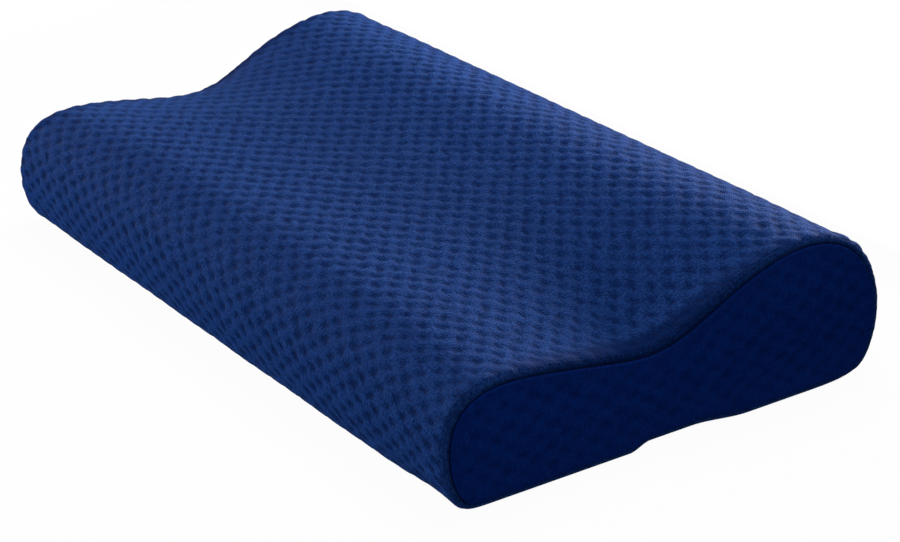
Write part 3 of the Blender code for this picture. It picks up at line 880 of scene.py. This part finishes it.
def swollen_cover():
    """The cover as cloth, held at its seams and where it rests, with the foam's push as pressure.

    Gives how far it swells: over a lattice of the long panel, and at points of the two ends.
    """
    points, faces, held = closed_lattice()
    every = np.vstack(points)
    data = new_mesh("swelling_cover", every, faces)
    turned_outward(data)
    cloth = new_object("swelling_cover", data)
    group = cloth.vertex_groups.new(name="held")
    group.add(np.flatnonzero(held).tolist(), 1.0, "REPLACE")
    modifier = cloth.modifiers.new("Cloth", "CLOTH")
    set_all(
        modifier.settings,
        quality=6,
        mass=0.3,
        tension_stiffness=SWELL_STIFFNESS,
        compression_stiffness=SWELL_STIFFNESS,
        shear_stiffness=SWELL_STIFFNESS / 2,
        bending_stiffness=2.0,
        tension_damping=20,
        compression_damping=20,
        air_damping=5,
        vertex_group_mass="held",
        use_pressure=True,
        uniform_pressure_force=SWELL_PRESSURE,
    )
    modifier.settings.effector_weights.gravity = 0
    modifier.collision_settings.use_collision = False
    set_all(modifier.point_cache, frame_start=1, frame_end=SWELL_FRAMES)
    for number in range(1, SWELL_FRAMES + 1):
        bpy.context.scene.frame_set(number)
    swollen = cloth.evaluated_get(bpy.context.evaluated_depsgraph_get())
    moved = np.array([v.co for v in swollen.data.vertices]) - every
    outward = np.array([v.normal for v in data.vertices])
    bpy.data.objects.remove(cloth, do_unlink=True)
    bpy.data.meshes.remove(data)
    bpy.context.scene.frame_set(1)
    swell = (moved * outward).sum(axis=1)
    swell = SWELL_CAP * np.tanh(np.clip(swell, 0, None) / SWELL_CAP)
    panel, *ends = np.split(swell, np.cumsum([len(part) for part in points])[:-1])
    ends = [(part[:, 1:], share) for part, share in zip(points[1:], ends)]
    return panel.reshape(SWELL_ROUND, SWELL_ALONG), ends


def panel_swell(panel, s, u):
    """The long panel's swell at the places (s, u)."""
    round_it = b_spline_at(panel, s / GIRTH * SWELL_ROUND, "wrap")
    along = (u + HALF_SPAN) / (2 * HALF_SPAN) * (SWELL_ALONG - 1)
    return b_spline_at(round_it.T, along, "clip").T


def end_swell(end, field):
    """An end's swell at the points (y, z) of a field."""
    places, swell = end
    gap = np.linalg.norm(field[:, None] - places[None], axis=-1)
    weights = hump(gap, 0, 0.75 * SWELL_CELL) + 1e-12
    return (weights * swell).sum(axis=1) / weights.sum(axis=1)


def cover_main_panel(material, swell):
    """The length of knit that goes right round, with the zip's slot in its underside."""
    s, u = round_places(COVER_PLACES), length_places()
    depth, tone = cover_depth(s, u, panel_swell(swell, s, u))
    # one more column at each end, turned in at the seam
    depth, tone = (np.pad(grid, ((0, 0), (1, 1)), mode="edge") for grid in (depth, tone))
    depth[:, [0, -1]] = TURNED_IN
    u = np.pad(u, 1, mode="edge")
    points = layer_points(s, np.broadcast_to(u, depth.shape), depth)
    points[..., 2] = np.maximum(points[..., 2], 0.02 * MM)
    points = points.reshape(-1, 3)
    along, across = (grid.ravel() for grid in np.meshgrid(s, u, indexing="ij"))
    first_row = int(np.argmin(np.abs(s - SLOT_HALF_WIDTH)))
    first_column = int(np.argmin(np.abs(u + SLOT_HALF_LENGTH)))
    middle_s = from_closing_seam((s[1:] + s[:-1]) / 2)
    middle_u = np.abs(u[1:] + u[:-1]) / 2
    in_slot = (middle_s < SLOT_HALF_WIDTH)[:, None] & (middle_u < SLOT_HALF_LENGTH)[None, :]
    faces = [grid_faces(*depth.shape)[~in_slot]]
    near, turned = slot_hem(points, *depth.shape, first_row, first_column)
    start = len(points)
    count = len(near)
    across = np.concatenate([across] + [across[near]] * len(turned))
    along = np.concatenate([along] + [along[near]] * len(turned))
    tone = np.concatenate([tone.ravel(), np.full(count * len(turned), 0.3)])
    for number in range(len(turned)):
        far = start + number * count + np.arange(count)
        faces.append(np.stack([near, far, np.roll(far, -1), np.roll(near, -1)], axis=-1))
        near = far
    points = np.vstack([points] + turned)
    points, faces, (across, along, tone) = only_used(points, faces, across, along, tone)
    obj = add_piece(
        "cover_main_panel_knit", points, np.vstack(faces), material, ["cover_main_panel"], "cover_knit"
    )
    store_weave(obj, across, along, tone)


def cover_end_panel(side, word, material, swell):
    """The flat panel of one end, from its seam inward, with a slight crown."""
    s = even_places(END_PLACES)
    last = EDGE_RADIUS * (math.pi / 2 - SEAM_ANGLE)  # where the rounded edge ends
    from_seam = np.append(np.array([0, 0, 0.2, 0.5, 0.9, 1.4, 2.0]) * MM, last)
    groove = seam_groove(from_seam)
    groove[0] = TURNED_IN
    gathers = pucker(71 + side, s, 0 * s) * (1 - rests_down(s))
    depth = groove[None, :] + gathers[:, None] * np.exp(-from_seam / (7 * MM))[None, :]
    rings = layer_points(s, np.broadcast_to(side * (HALF_SPAN + from_seam), depth.shape), depth)

    def standing(field, away):
        relief = bubbles(81 + side, field[:, 1], field[:, 0])[0]
        fade = smooth_step(away, *END_FADE)
        crown = 1.6 * MM * smooth_step(away, 0, CROWN_REACH) + end_swell(swell, field) * fade
        return crown - seam_groove(away + last) - 0.75 * RELIEF * (1 - relief) * fade

    points, faces, away = end_cap(side, rings, (2.3 * MM, 2.1 * MM), standing)
    fade = smooth_step(away, *END_FADE)
    y, z = points[-len(away) :, 1:].T
    tone = bubbles(81 + side, z, y)[1]
    # the turned-in edge and the seam's groove are painted dark: painted shade
    edge_tone_and_groove_shade = np.repeat([0.1, 0.5], [3 * len(s), (len(from_seam) - 3) * len(s)])
    tone = np.concatenate([edge_tone_and_groove_shade, tone * fade + 0.55 * (1 - fade)])
    node = f"cover_end_{word}"
    obj = add_piece(f"{node}_knit", points, faces, material, [node], "end_knit")
    store_weave(obj, points[:, 1], points[:, 2], tone)


def seam_stitches(side, word, material):
    """The stitches that close one end, deep in the seam's groove."""
    s = even_places(THREAD_PLACES)
    u = np.full((len(s), 1), side * HALF_SPAN)
    path, above = (layer_points(s, u, np.full_like(u, depth * MM))[:, 0] for depth in (2.4, 1.4))
    sizes = dict(length=2.7 * MM, gap=0.6 * MM, radius=0.34 * MM, bow=0.22 * MM)
    shape = stitches(path, (above - path) / MM, **sizes)
    add_piece(f"seam_stitches_{word}", *shape, material, [f"seam_thread_{word}"], "seam_thread")


# ---------------------------------------------------------------- liner and foam


def liner_body(material):
    """The long panel of the liner, with the raw edges of its ends turned in."""
    s = even_places(INNER_PLACES)
    end = np.array([6, 4.5, 3.2, 2.2, 1.3, 0.6, 0.2, 0]) * MM
    flat = LINER_HALF_SPAN - 8 * MM
    u = np.concatenate([end[::-1] - LINER_HALF_SPAN, np.linspace(-flat, flat, 90), LINER_HALF_SPAN - end])
    u = np.pad(u, 1, mode="edge")
    s_grid, u_grid = np.meshgrid(s, u, indexing="ij")
    depth = LINER_DEPTH + 0.3 * MM * hump(LINER_HALF_SPAN - np.abs(u_grid), 0, 0.8 * MM)
    depth = depth + 0.12 * MM * (1 + ripple(91, s_grid, u_grid, 60 * MM, 80 * MM, 10))
    depth[:, [0, -1]] = LINER_TURNED_IN
    points = layer_points(s, u_grid, depth, ZIP_ROOM, moulded=True).reshape(-1, 3)
    return add_piece(
        "liner_body_jersey", points, band_faces(*depth.shape), material, ["liner_body"], "liner_jersey"
    )


def inner_end(side, angles, depths, crown, spacing):
    """One end of an inner layer: (points, faces), from angles on the rounded edge inward."""
    s = even_places(INNER_PLACES)
    u = np.tile(side * (HALF_FLAT + EDGE_RADIUS * np.array(angles)), (len(s), 1))
    rings = layer_points(s, u, np.tile(np.array(depths), (len(s), 1)), ZIP_ROOM, moulded=True)

    def standing(field, away):
        return crown * smooth_step(away, 0, CROWN_REACH) - depths[-1]

    return end_cap(side, rings, (spacing, spacing), standing)[:2]


def liner(material):
    liner_body(material)
    angles = [LINER_ANGLE] + list(np.linspace(LINER_ANGLE, math.pi / 2, 4))
    depths = [LINER_TURNED_IN] + [LINER_DEPTH] * 4
    for side, word in SIDES:
        shape = inner_end(side, angles, depths, 1.2 * MM, 4 * MM)
        node = f"liner_end_{word}"
        end = add_piece(f"{node}_jersey", *shape, material, [node], "liner_jersey")


def foam_core(material):
    """The moulded foam, one closed form."""
    s = even_places(INNER_PLACES)
    beyond = HALF_FLAT + EDGE_RADIUS * np.linspace(math.pi / 2, 0, 4)[:-1]
    u = np.concatenate([-beyond, np.linspace(-HALF_FLAT, HALF_FLAT, 81), beyond[::-1]])
    s_grid, u_grid = np.meshgrid(s, u, indexing="ij")
    depth = FOAM_DEPTH + 0.1 * MM * (1 + ripple(101, s_grid, u_grid, 60 * MM, 90 * MM, 10))
    depth[:, [0, -1]] = FOAM_DEPTH
    points = layer_points(s, u_grid, depth, ZIP_ROOM, moulded=True).reshape(-1, 3)
    shapes = [(points, band_faces(*depth.shape))]
    angles = np.linspace(math.pi / 2 - 0.02, math.pi / 2, 4)
    shapes += [inner_end(side, angles, [FOAM_DEPTH] * 4, 1.0 * MM, 5 * MM) for side, _ in SIDES]
    obj = add_piece("foam_core_moulded", *joined(shapes), material, ["foam_core"], "memory_foam")
    turned_outward(obj.data, merged=0.05 * MM)


# ---------------------------------------------------------------- zip


def zip_tape(side, word, material):
    """A woven tape: a thin strip with a corded edge by the coil, and a slight wave."""
    low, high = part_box(f"zip_tape_{word}")
    x = np.linspace(low.x, high.x, 233)[:, None]
    near, far = (low.y, high.y) if side > 0 else (high.y, low.y)
    across = np.array([0, 0.02, 0.06, 0.2, 0.24, 0.28, 0.45, 0.6, 0.8, 0.95, 0.99, 1.0])
    ridge = 0.12 * MM * hump(across, 0.03, 0.03) + 0.1 * MM * hump(across, 0.24, 0.03)
    wave = 0.06 * MM * np.sin(x * 2 * math.pi / (23 * MM) + across * 4)
    round_off = 0.12 * MM * (hump(across, 0, 0.02) + hump(across, 1, 0.02))
    bottom = low.z + 0.12 * MM - ridge + round_off + np.abs(wave)
    top = np.broadcast_to(high.z - round_off, bottom.shape)
    y = near + (far - near) * np.concatenate([across, across[::-1]])
    z = np.hstack([bottom, top[:, ::-1]])
    points = np.stack([x + 0 * z, y + 0 * z, z], axis=-1).reshape(-1, 3)
    node = f"zip_tape_{word}"
    faces = ring_faces(len(x), len(y), capped=True)
    turned_outward(add_piece(f"{node}_woven", points, faces, material, [node], "zip_tape").data)


def zip_coil(side, word, material):
    """The nylon coil: a flattened spring, with a head on each turn that meets the other side's."""
    node = f"zip_coil_{word}"
    low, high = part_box(node)
    wire, pitch, steps = 0.3 * MM, 1.45 * MM, 14
    turns = int((high.x - low.x - 2 * wire) / pitch)
    turn = np.arange(turns * steps + 1) / steps
    cosine, sine = np.cos(2 * math.pi * turn), np.sin(2 * math.pi * turn)
    head, back = (low.y, high.y) if side > 0 else (high.y, low.y)
    head = head - side * 0.18 * MM
    y_half = abs(back - head) / 2 - wire
    z_half = (high.z - low.z) / 2 - wire
    first = 0.0 if side > 0 else 0.5  # the two sides' turns lie between each other
    x = low.x + wire + (turn + first) * pitch * turns / (turns + 1)
    y = (head + back) / 2 - side * y_half * np.sign(cosine) * np.abs(cosine) ** 0.6
    z = (low.z + high.z) / 2 - z_half * np.sign(sine) * np.abs(sine) ** 0.6
    thick = wire * (1 + 0.35 * np.clip(cosine, 0, 1) ** 6)
    shape = tube(np.column_stack([x, y, z]), thick, 6, (1.0, 0.0, 0.0))
    turned_outward(add_piece(f"{node}_spring", *shape, material, [node], "zip_coil").data)


def rounded_bar(low, high, width, waist=0.0):
    """A box with rounded edges, and an optional pinched waist across X: (points, faces)."""
    mesh = bmesh.new()
    bmesh.ops.create_cube(mesh, size=1)
    bmesh.ops.scale(mesh, vec=high - low, verts=mesh.verts)
    bmesh.ops.translate(mesh, vec=(low + high) / 2, verts=mesh.verts)
    if waist:
        lengthways = [e for e in mesh.edges if abs(e.verts[0].co.x - e.verts[1].co.x) > 1e-6]
        bmesh.ops.subdivide_edges(mesh, edges=lengthways, cuts=3)
        middle = (low + high) / 2
        for v in mesh.verts:
            if abs(v.co.x - middle.x) < (high.x - low.x) * 0.2:
                pinch = waist * (1 - abs(v.co.x - middle.x) / (high.x - low.x) * 3)
                v.co.y += pinch if v.co.y < middle.y else -pinch
                v.co.z += pinch if v.co.z < middle.z else 0
    sharp = [e for e in mesh.edges if e.calc_face_angle(0) > 0.9]
    bmesh.ops.bevel(mesh, geom=sharp, offset=width, segments=3, affect="EDGES", profile=0.6)
    return points_and_faces(mesh)


def zip_stops(material):
    """The crimped metal stops at the two ends of the chain."""
    for node in ("zip_top_stop_front", "zip_top_stop_rear", "zip_bottom_stop"):
        shape = rounded_bar(*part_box(node), 0.3 * MM, 0.16 * MM)
        obj = add_piece(f"{node}_crimp", *shape, material, [node], "zip_metal")
        turned_outward(obj.data, sharp_above=50)


def plate(outline, low_z, high_z, width):
    """An (x, y) outline drawn up from low_z to high_z with rounded edges: (points, faces)."""
    mesh = bmesh.new()
    face = mesh.faces.new([mesh.verts.new((x, y, low_z)) for x, y in outline])
    made = bmesh.ops.extrude_face_region(mesh, geom=[face])
    moved = [v for v in made["geom"] if isinstance(v, bmesh.types.BMVert)]
    bmesh.ops.translate(mesh, vec=(0, 0, high_z - low_z), verts=moved)
    bmesh.ops.recalc_face_normals(mesh, faces=mesh.faces)
    rims = [e for e in mesh.edges if abs(e.verts[0].co.z - e.verts[1].co.z) < 1e-7]
    bmesh.ops.bevel(mesh, geom=rims, offset=width, segments=3, affect="EDGES", profile=0.6)
    return points_and_faces(mesh)


def slider_outline(length, width, narrow):
    """Plan of a slider's plate: wide with rounded shoulders at +X, narrow at -X."""
    half = width / 2
    right = [
        (-length / 2, narrow * 0.75),
        (-length / 2 + 0.5 * MM, narrow),
        (-length * 0.18, narrow),
        (length * 0.12, half * 0.97),
        (length * 0.30, half),
        (length * 0.42, half * 0.86),
        (length * 0.47, half * 0.55),
        (length * 0.43, 0.22 * half),
    ]
    return right + [(x, -y) for x, y in reversed(right)]


def zip_slider(material):
    """Slider: two plates joined by the web, side flanges, and the bridge that holds the tab."""
    low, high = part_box("zip_slider")
    middle = (low.x + high.x) / 2
    length, width = high.x - low.x, high.y - low.y
    narrow, wide = width * 0.40, width / 2 * 0.97
    thick, flange = 0.8 * MM, 0.6 * MM
    bottom = low.z + 2.5 * MM  # the outer plate's face, over the bridge
    plan = slider_outline(length, width, narrow)
    shapes = [
        plate([(middle + x, y) for x, y in plan], bottom, bottom + thick, 0.22 * MM),
        plate([(middle + x * 0.94, y * 0.93) for x, y in plan], high.z - thick, high.z, 0.22 * MM),
    ]
    edge = [(-0.46, narrow), (-0.18, narrow), (0.12, wide), (0.34, wide)]
    edge = [(middle + share * length, y) for share, y in edge]
    wall = edge + [(x, y - flange) for x, y in reversed(edge)]
    for side in (-1, 1):
        outline = [(x, side * y) for x, y in wall]
        shapes.append(plate(outline, bottom + 0.3 * MM, bottom + 2.5 * MM, 0.12 * MM))
    ahead, behind, half = middle + length * 0.40, middle - length * 0.05, 0.2 * MM
    web = [(ahead, half), (behind, half), (behind, -half), (ahead, -half)]
    shapes.append(plate(web, bottom + 0.3 * MM, high.z - 0.3 * MM, 0.05 * MM))
    foot, bend = 3.2 * MM, 1.0 * MM
    drop = low.z + 0.45 * MM
    leg = [(-foot, bottom + 0.4 * MM), (-foot, bottom - 0.3 * MM)]
    for turn in np.linspace(0, math.pi / 2, 6):
        leg.append((-foot + bend * (1 - math.cos(turn)), drop + bend * (1 - math.sin(turn))))
    path = leg + [(-x, z) for x, z in reversed(leg)]
    shapes.append(tube([(middle + x, 0, z) for x, z in path], 0.45 * MM, 10, (0.0, 1.0, 0.0)))
    obj = add_piece("zip_slider_cast", *joined(shapes), material, ["zip_slider"], "zip_metal", "slider")
    turned_outward(obj.data, sharp_above=40)


def pull_tab(material):
    """The tab: a rounded plate with an eye for the bridge, a slot near its free end, and a grip."""
    low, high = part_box("zip_pull_tab")
    middle = ((low.x + high.x) / 2, 0.0)
    hinge_x = high.x - 0.4 * MM
    edge, hole = 0.18 * MM, 2.6 * MM
    curve = bpy.data.curves.new("zip_pull_tab_plate", "CURVE")
    half = (high.z - low.z) / 2
    set_all(curve, dimensions="2D", fill_mode="BOTH", bevel_depth=edge, bevel_resolution=2)
    set_all(curve, extrude=half - edge, offset=-edge)
    for outline in (
        rounded_rectangle(high.x - low.x, high.y - low.y, 2.4 * MM, 8, middle),
        rounded_rectangle(4.4 * MM, hole, 0.4 * MM, 4, (hinge_x - 2.6 * MM, 0)),
        rounded_rectangle(7 * MM, hole, 1.27 * MM, 8, (hinge_x - 17.5 * MM, 0)),
    ):
        spline = curve.splines.new("POLY")
        spline.points.add(len(outline) - 1)
        spline.points.foreach_set("co", np.ravel([(x, y, 0, 1) for x, y in outline]))
        spline.use_cyclic_u = True
    shape = new_object("zip_pull_tab_plate", curve)
    shape.location.z = (low.z + high.z) / 2
    bpy.context.view_layer.update()
    graph = bpy.context.evaluated_depsgraph_get()
    made = bpy.data.meshes.new_from_object(shape.evaluated_get(graph))
    made.transform(shape.matrix_world)
    points = np.array([v.co for v in made.vertices])
    shapes = [(points, [list(p.vertices) for p in made.polygons])]
    bpy.data.objects.remove(shape, do_unlink=True)
    bpy.data.meshes.remove(made)
    for number in range(4):
        at = hinge_x - (8.2 + 1.3 * number) * MM
        bar_low = Vector((at - 0.25 * MM, -1.9 * MM, low.z - 0.12 * MM))
        bar_high = Vector((at + 0.25 * MM, 1.9 * MM, low.z + 0.3 * MM))
        shapes.append(rounded_bar(bar_low, bar_high, 0.1 * MM))
    nodes = ["zip_pull_tab"]
    obj = add_piece("zip_pull_tab_cast", *joined(shapes), material, nodes, "zip_metal", "pull_tab")
    turned_outward(obj.data, merged=1e-6, sharp_above=40)


def flat_stitches(name, loop, z, sizes, material, nodes):
    """A row of stitches along an (x, y) loop on a face that looks down."""
    path = np.column_stack([loop, np.full(len(loop), z)])
    outward = np.tile([0.0, 0.0, -1.0], (len(path), 1))
    add_piece(name, *stitches(path, outward, **sizes), material, nodes, "seam_thread")


def zip_stitches(material):
    """The row of stitches round the zip slot."""
    length, width = (2 * (half + STITCH_MARGIN) for half in (SLOT_HALF_LENGTH, SLOT_HALF_WIDTH))
    loop = rounded_rectangle(length, width, 4 * MM, 6)
    sizes = dict(length=2.6 * MM, gap=0.7 * MM, radius=0.26 * MM, bow=0.2 * MM)
    height = CHANNEL_HEIGHT + 0.25 * MM
    flat_stitches("zip_top_stitches", loop, height, sizes, material, ["zip_stitching"])


def care_label(material, thread):
    """A blank satin label, hemmed and sewn down in the channel."""
    low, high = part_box("care_label")
    columns, rows = 39, 25
    x, y = np.meshgrid(
        np.linspace(low.x, high.x, columns), np.linspace(low.y, high.y, rows), indexing="ij"
    )
    edge = np.minimum(np.minimum(x - low.x, high.x - x), np.minimum(y - low.y, high.y - y))
    hem = smooth_step(edge, 3.4 * MM, 2.6 * MM)
    wave = 0.05 * MM * np.sin(x / (5.1 * MM)) * np.sin(y / (3.7 * MM) + 1)
    thick = 0.22 * MM + 0.14 * MM * hem - 0.1 * MM * hump(edge, 1.6 * MM, 0.5 * MM)
    curl = smooth_step(x, low.x + 6 * MM, low.x) * smooth_step(np.abs(y), 6 * MM, 12 * MM)
    top = np.full(x.shape, high.z - 0.02 * MM)
    bottom = top - thick + wave * (1 - hem) - 0.12 * MM * curl
    points = np.vstack([np.stack([x, y, z], axis=-1).reshape(-1, 3) for z in (top, bottom)])
    quads = grid_faces(columns, rows).reshape(-1, 4)
    index = np.arange(x.size).reshape(x.shape)
    rim = np.concatenate([index[:, 0], index[-1, 1:], index[-2::-1, -1], index[0, -2:0:-1]])
    sides = np.stack([rim, rim + x.size, np.roll(rim, -1) + x.size, np.roll(rim, -1)], axis=-1)
    faces = np.vstack([quads, quads[:, ::-1] + x.size, sides])
    obj = add_piece("care_label_satin", points, faces, material, ["care_label"], "label_satin")
    turned_outward(obj.data, sharp_above=60)
    length, width = high.x - low.x, high.y - low.y
    loop = rounded_rectangle(length - 3.2 * MM, width - 3.2 * MM, 0.6 * MM, 3)
    loop = loop + np.array([(low.x + high.x) / 2, 0])
    sizes = dict(length=1.7 * MM, gap=0.6 * MM, radius=0.14 * MM, bow=0.12 * MM)
    flat_stitches("care_label_stitches", loop, high.z - 0.28 * MM, sizes, thread, [])


# ---------------------------------------------------------------- stage, light and camera


def glowing(name, glow, matt):
    """Stage material: glows white by glow, takes a faint shadow, and isn't there from behind."""
    material = bpy.data.materials.new(name)
    material.use_nodes = True
    tree = material.node_tree
    tree.nodes.clear()
    light = add_node(tree, "ShaderNodeEmission", {"Strength": glow}).outputs[0]
    diffuse = add_node(tree, "ShaderNodeBsdfDiffuse", {"Color": (matt, matt, matt, 1)}).outputs[0]
    both = add_node(tree, "ShaderNodeAddShader", {0: light, 1: diffuse}).outputs[0]
    clear = add_node(tree, "ShaderNodeBsdfTransparent").outputs[0]
    back = add_node(tree, "ShaderNodeNewGeometry").outputs["Backfacing"]
    shown = add_node(tree, "ShaderNodeMixShader", {0: back, 1: both, 2: clear}).outputs[0]
    add_node(tree, "ShaderNodeOutputMaterial", {"Surface": shown})
    return material


def stage_piece(name, points, faces, material):
    """A piece of the studio, which doesn't light the pillow: the lights and the world do."""
    piece = new_object(name, new_mesh(name, points, faces, material))
    set_all(piece, visible_diffuse=False, visible_glossy=False, visible_transmission=False)
    return piece


def floor_and_backdrop():
    """A plain pale floor, and a plain white backdrop all round that is seen from inside only."""
    mesh = bmesh.new()
    bmesh.ops.create_circle(mesh, cap_ends=True, radius=STAGE_RADIUS, segments=96)
    floor = stage_piece("floor", *points_and_faces(mesh), glowing("pale_floor", 0.965, 0.03))
    mesh = bmesh.new()
    bmesh.ops.create_uvsphere(mesh, u_segments=48, v_segments=24, radius=STAGE_RADIUS)
    bmesh.ops.reverse_faces(mesh, faces=mesh.faces)
    dome = stage_piece("backdrop", *points_and_faces(mesh), glowing("white_backdrop", 1.0, 0.0))
    floor.visible_shadow = False
    dome.visible_shadow = False


def rear_flag():
    """A card behind the pillow that keeps the rear light off its rear face. It isn't seen itself."""
    y, half, top = 0.27, 0.7, 0.112
    corners = [(-half, y, 0), (half, y, 0), (half, y, top), (-half, y, top)]
    flag = stage_piece("rear_flag", corners, [(0, 1, 2, 3)], glowing("black_card", 0.0, 0.02))
    flag.visible_camera = False


def soft_light(name, towards, distance, size, watts, colour=(1, 1, 1)):
    """A round soft light that looks at the pillow's middle, this far off in this direction."""
    data = bpy.data.lights.new(name, "AREA")
    set_all(data, shape="DISK", size=size, energy=watts, color=colour)
    light = new_object(name, data)
    direction = Vector(towards).normalized()
    light.location = (cad_box[0] + cad_box[1]) / 2 + direction * distance
    light.rotation_euler = direction.to_track_quat("Z", "Y").to_euler()
    light.visible_camera = False


def world_light(colour, strength):
    world = bpy.data.worlds.new("soft_fill")
    world.use_nodes = True
    back = world.node_tree.nodes["Background"]
    back.inputs["Color"].default_value = (*colour, 1)
    back.inputs["Strength"].default_value = strength
    bpy.context.scene.world = world


def studio():
    floor_and_backdrop()
    rear_flag()
    world_light((0.85, 0.92, 1.0), 0.12)
    soft_light("key_above_behind", (-0.12, 0.32, 0.90), 2.0, 1.3, 24.5)
    soft_light("rim_behind", (-0.22, 0.94, 0.185), 3.0, 0.8, 255, (1.0, 0.92, 0.85))
    soft_light("fill_rear", (0.30, 0.95, 0.05), 3.0, 1.6, 40)
    soft_light("fill_front_left", (-0.80, -0.62, 0.14), 2.6, 1.1, 46, (0.50, 0.82, 1.0))
    soft_light("bounce_front", (-0.15, -0.80, -0.60), 2.6, 1.6, 21, (0.7, 0.90, 1.0))
    soft_light("fill_right", (0.80, -0.25, 0.50), 2.0, 1.4, 9.5)
    soft_light("side_left", (-0.93, -0.14, 0.20), 3.0, 1.2, 33, (1.0, 0.86, 0.78))
    bpy.context.scene.view_settings.view_transform = "Standard"


def camera():
    """The three-quarter view from the front right and above."""
    azimuth, elevation, roll = (math.radians(angle) for angle in (59.8271, 23.1753, -4.1205))
    distance, focal_length, sensor = 1.7451, 112.22, 36.0
    target = Vector((0.0475, -0.0021, 0.0293))
    level = Vector((math.cos(azimuth), math.sin(azimuth), 0))
    back = Vector((level.y, -level.x, 0)) * math.cos(elevation)
    back.z = math.sin(elevation)
    up = back.cross(level)
    right = math.cos(roll) * level + math.sin(roll) * up
    upward = math.cos(roll) * up - math.sin(roll) * level
    data = bpy.data.cameras.new("camera")
    set_all(data, sensor_width=sensor, lens=focal_length, clip_start=0.05, clip_end=60)
    data.dof.use_dof = False
    view = new_object("camera", data)
    place = target + back * distance
    view.matrix_world = Matrix([*zip(right, upward, back, place), (0, 0, 0, 1)])
    bpy.context.scene.camera = view


# ---------------------------------------------------------------- whole pillow


def main():
    camera()
    studio()
    knit = knit_material(
        "cover_knit_look",
        bubble=(0.0067, 0.0322, 0.151, 1),
        recess=(0.0005, 0.0112, 0.073, 1),
        flecked=1.0,
        ribbing=0.20,
        rib_depth=0.20 * MM,
        sheen=0.05,
    )
    # the ends' knit: the cover's knit with its colour, flecks and sheen set for ends in shade, a painted
    # shaded copy
    end_knit = knit_material(
        "end_knit_look",
        bubble=(0.0, 0.0175, 0.147, 1),
        recess=(0.0, 0.0120, 0.108, 1),
        flecked=0.55,
        ribbing=0.10,
        rib_depth=0.06 * MM,
        sheen=0.0,
    )
    thread = thread_material()
    tape, coil, metal = tape_material(), coil_material(), metal_material()
    panel, ends = swollen_cover()
    cover_main_panel(knit, panel)
    for (side, word), end in zip(SIDES, ends):
        cover_end_panel(side, word, end_knit, end)
        seam_stitches(side, word, thread)
    liner(liner_material())
    foam_core(foam_material())
    for side, word in ((-1, "front"), (1, "rear")):
        zip_tape(side, word, tape)
        zip_coil(side, word, coil)
    zip_stops(metal)
    zip_stitches(thread)
    zip_slider(metal)
    pull_tab(metal)
    care_label(label_material(), thread)


main()
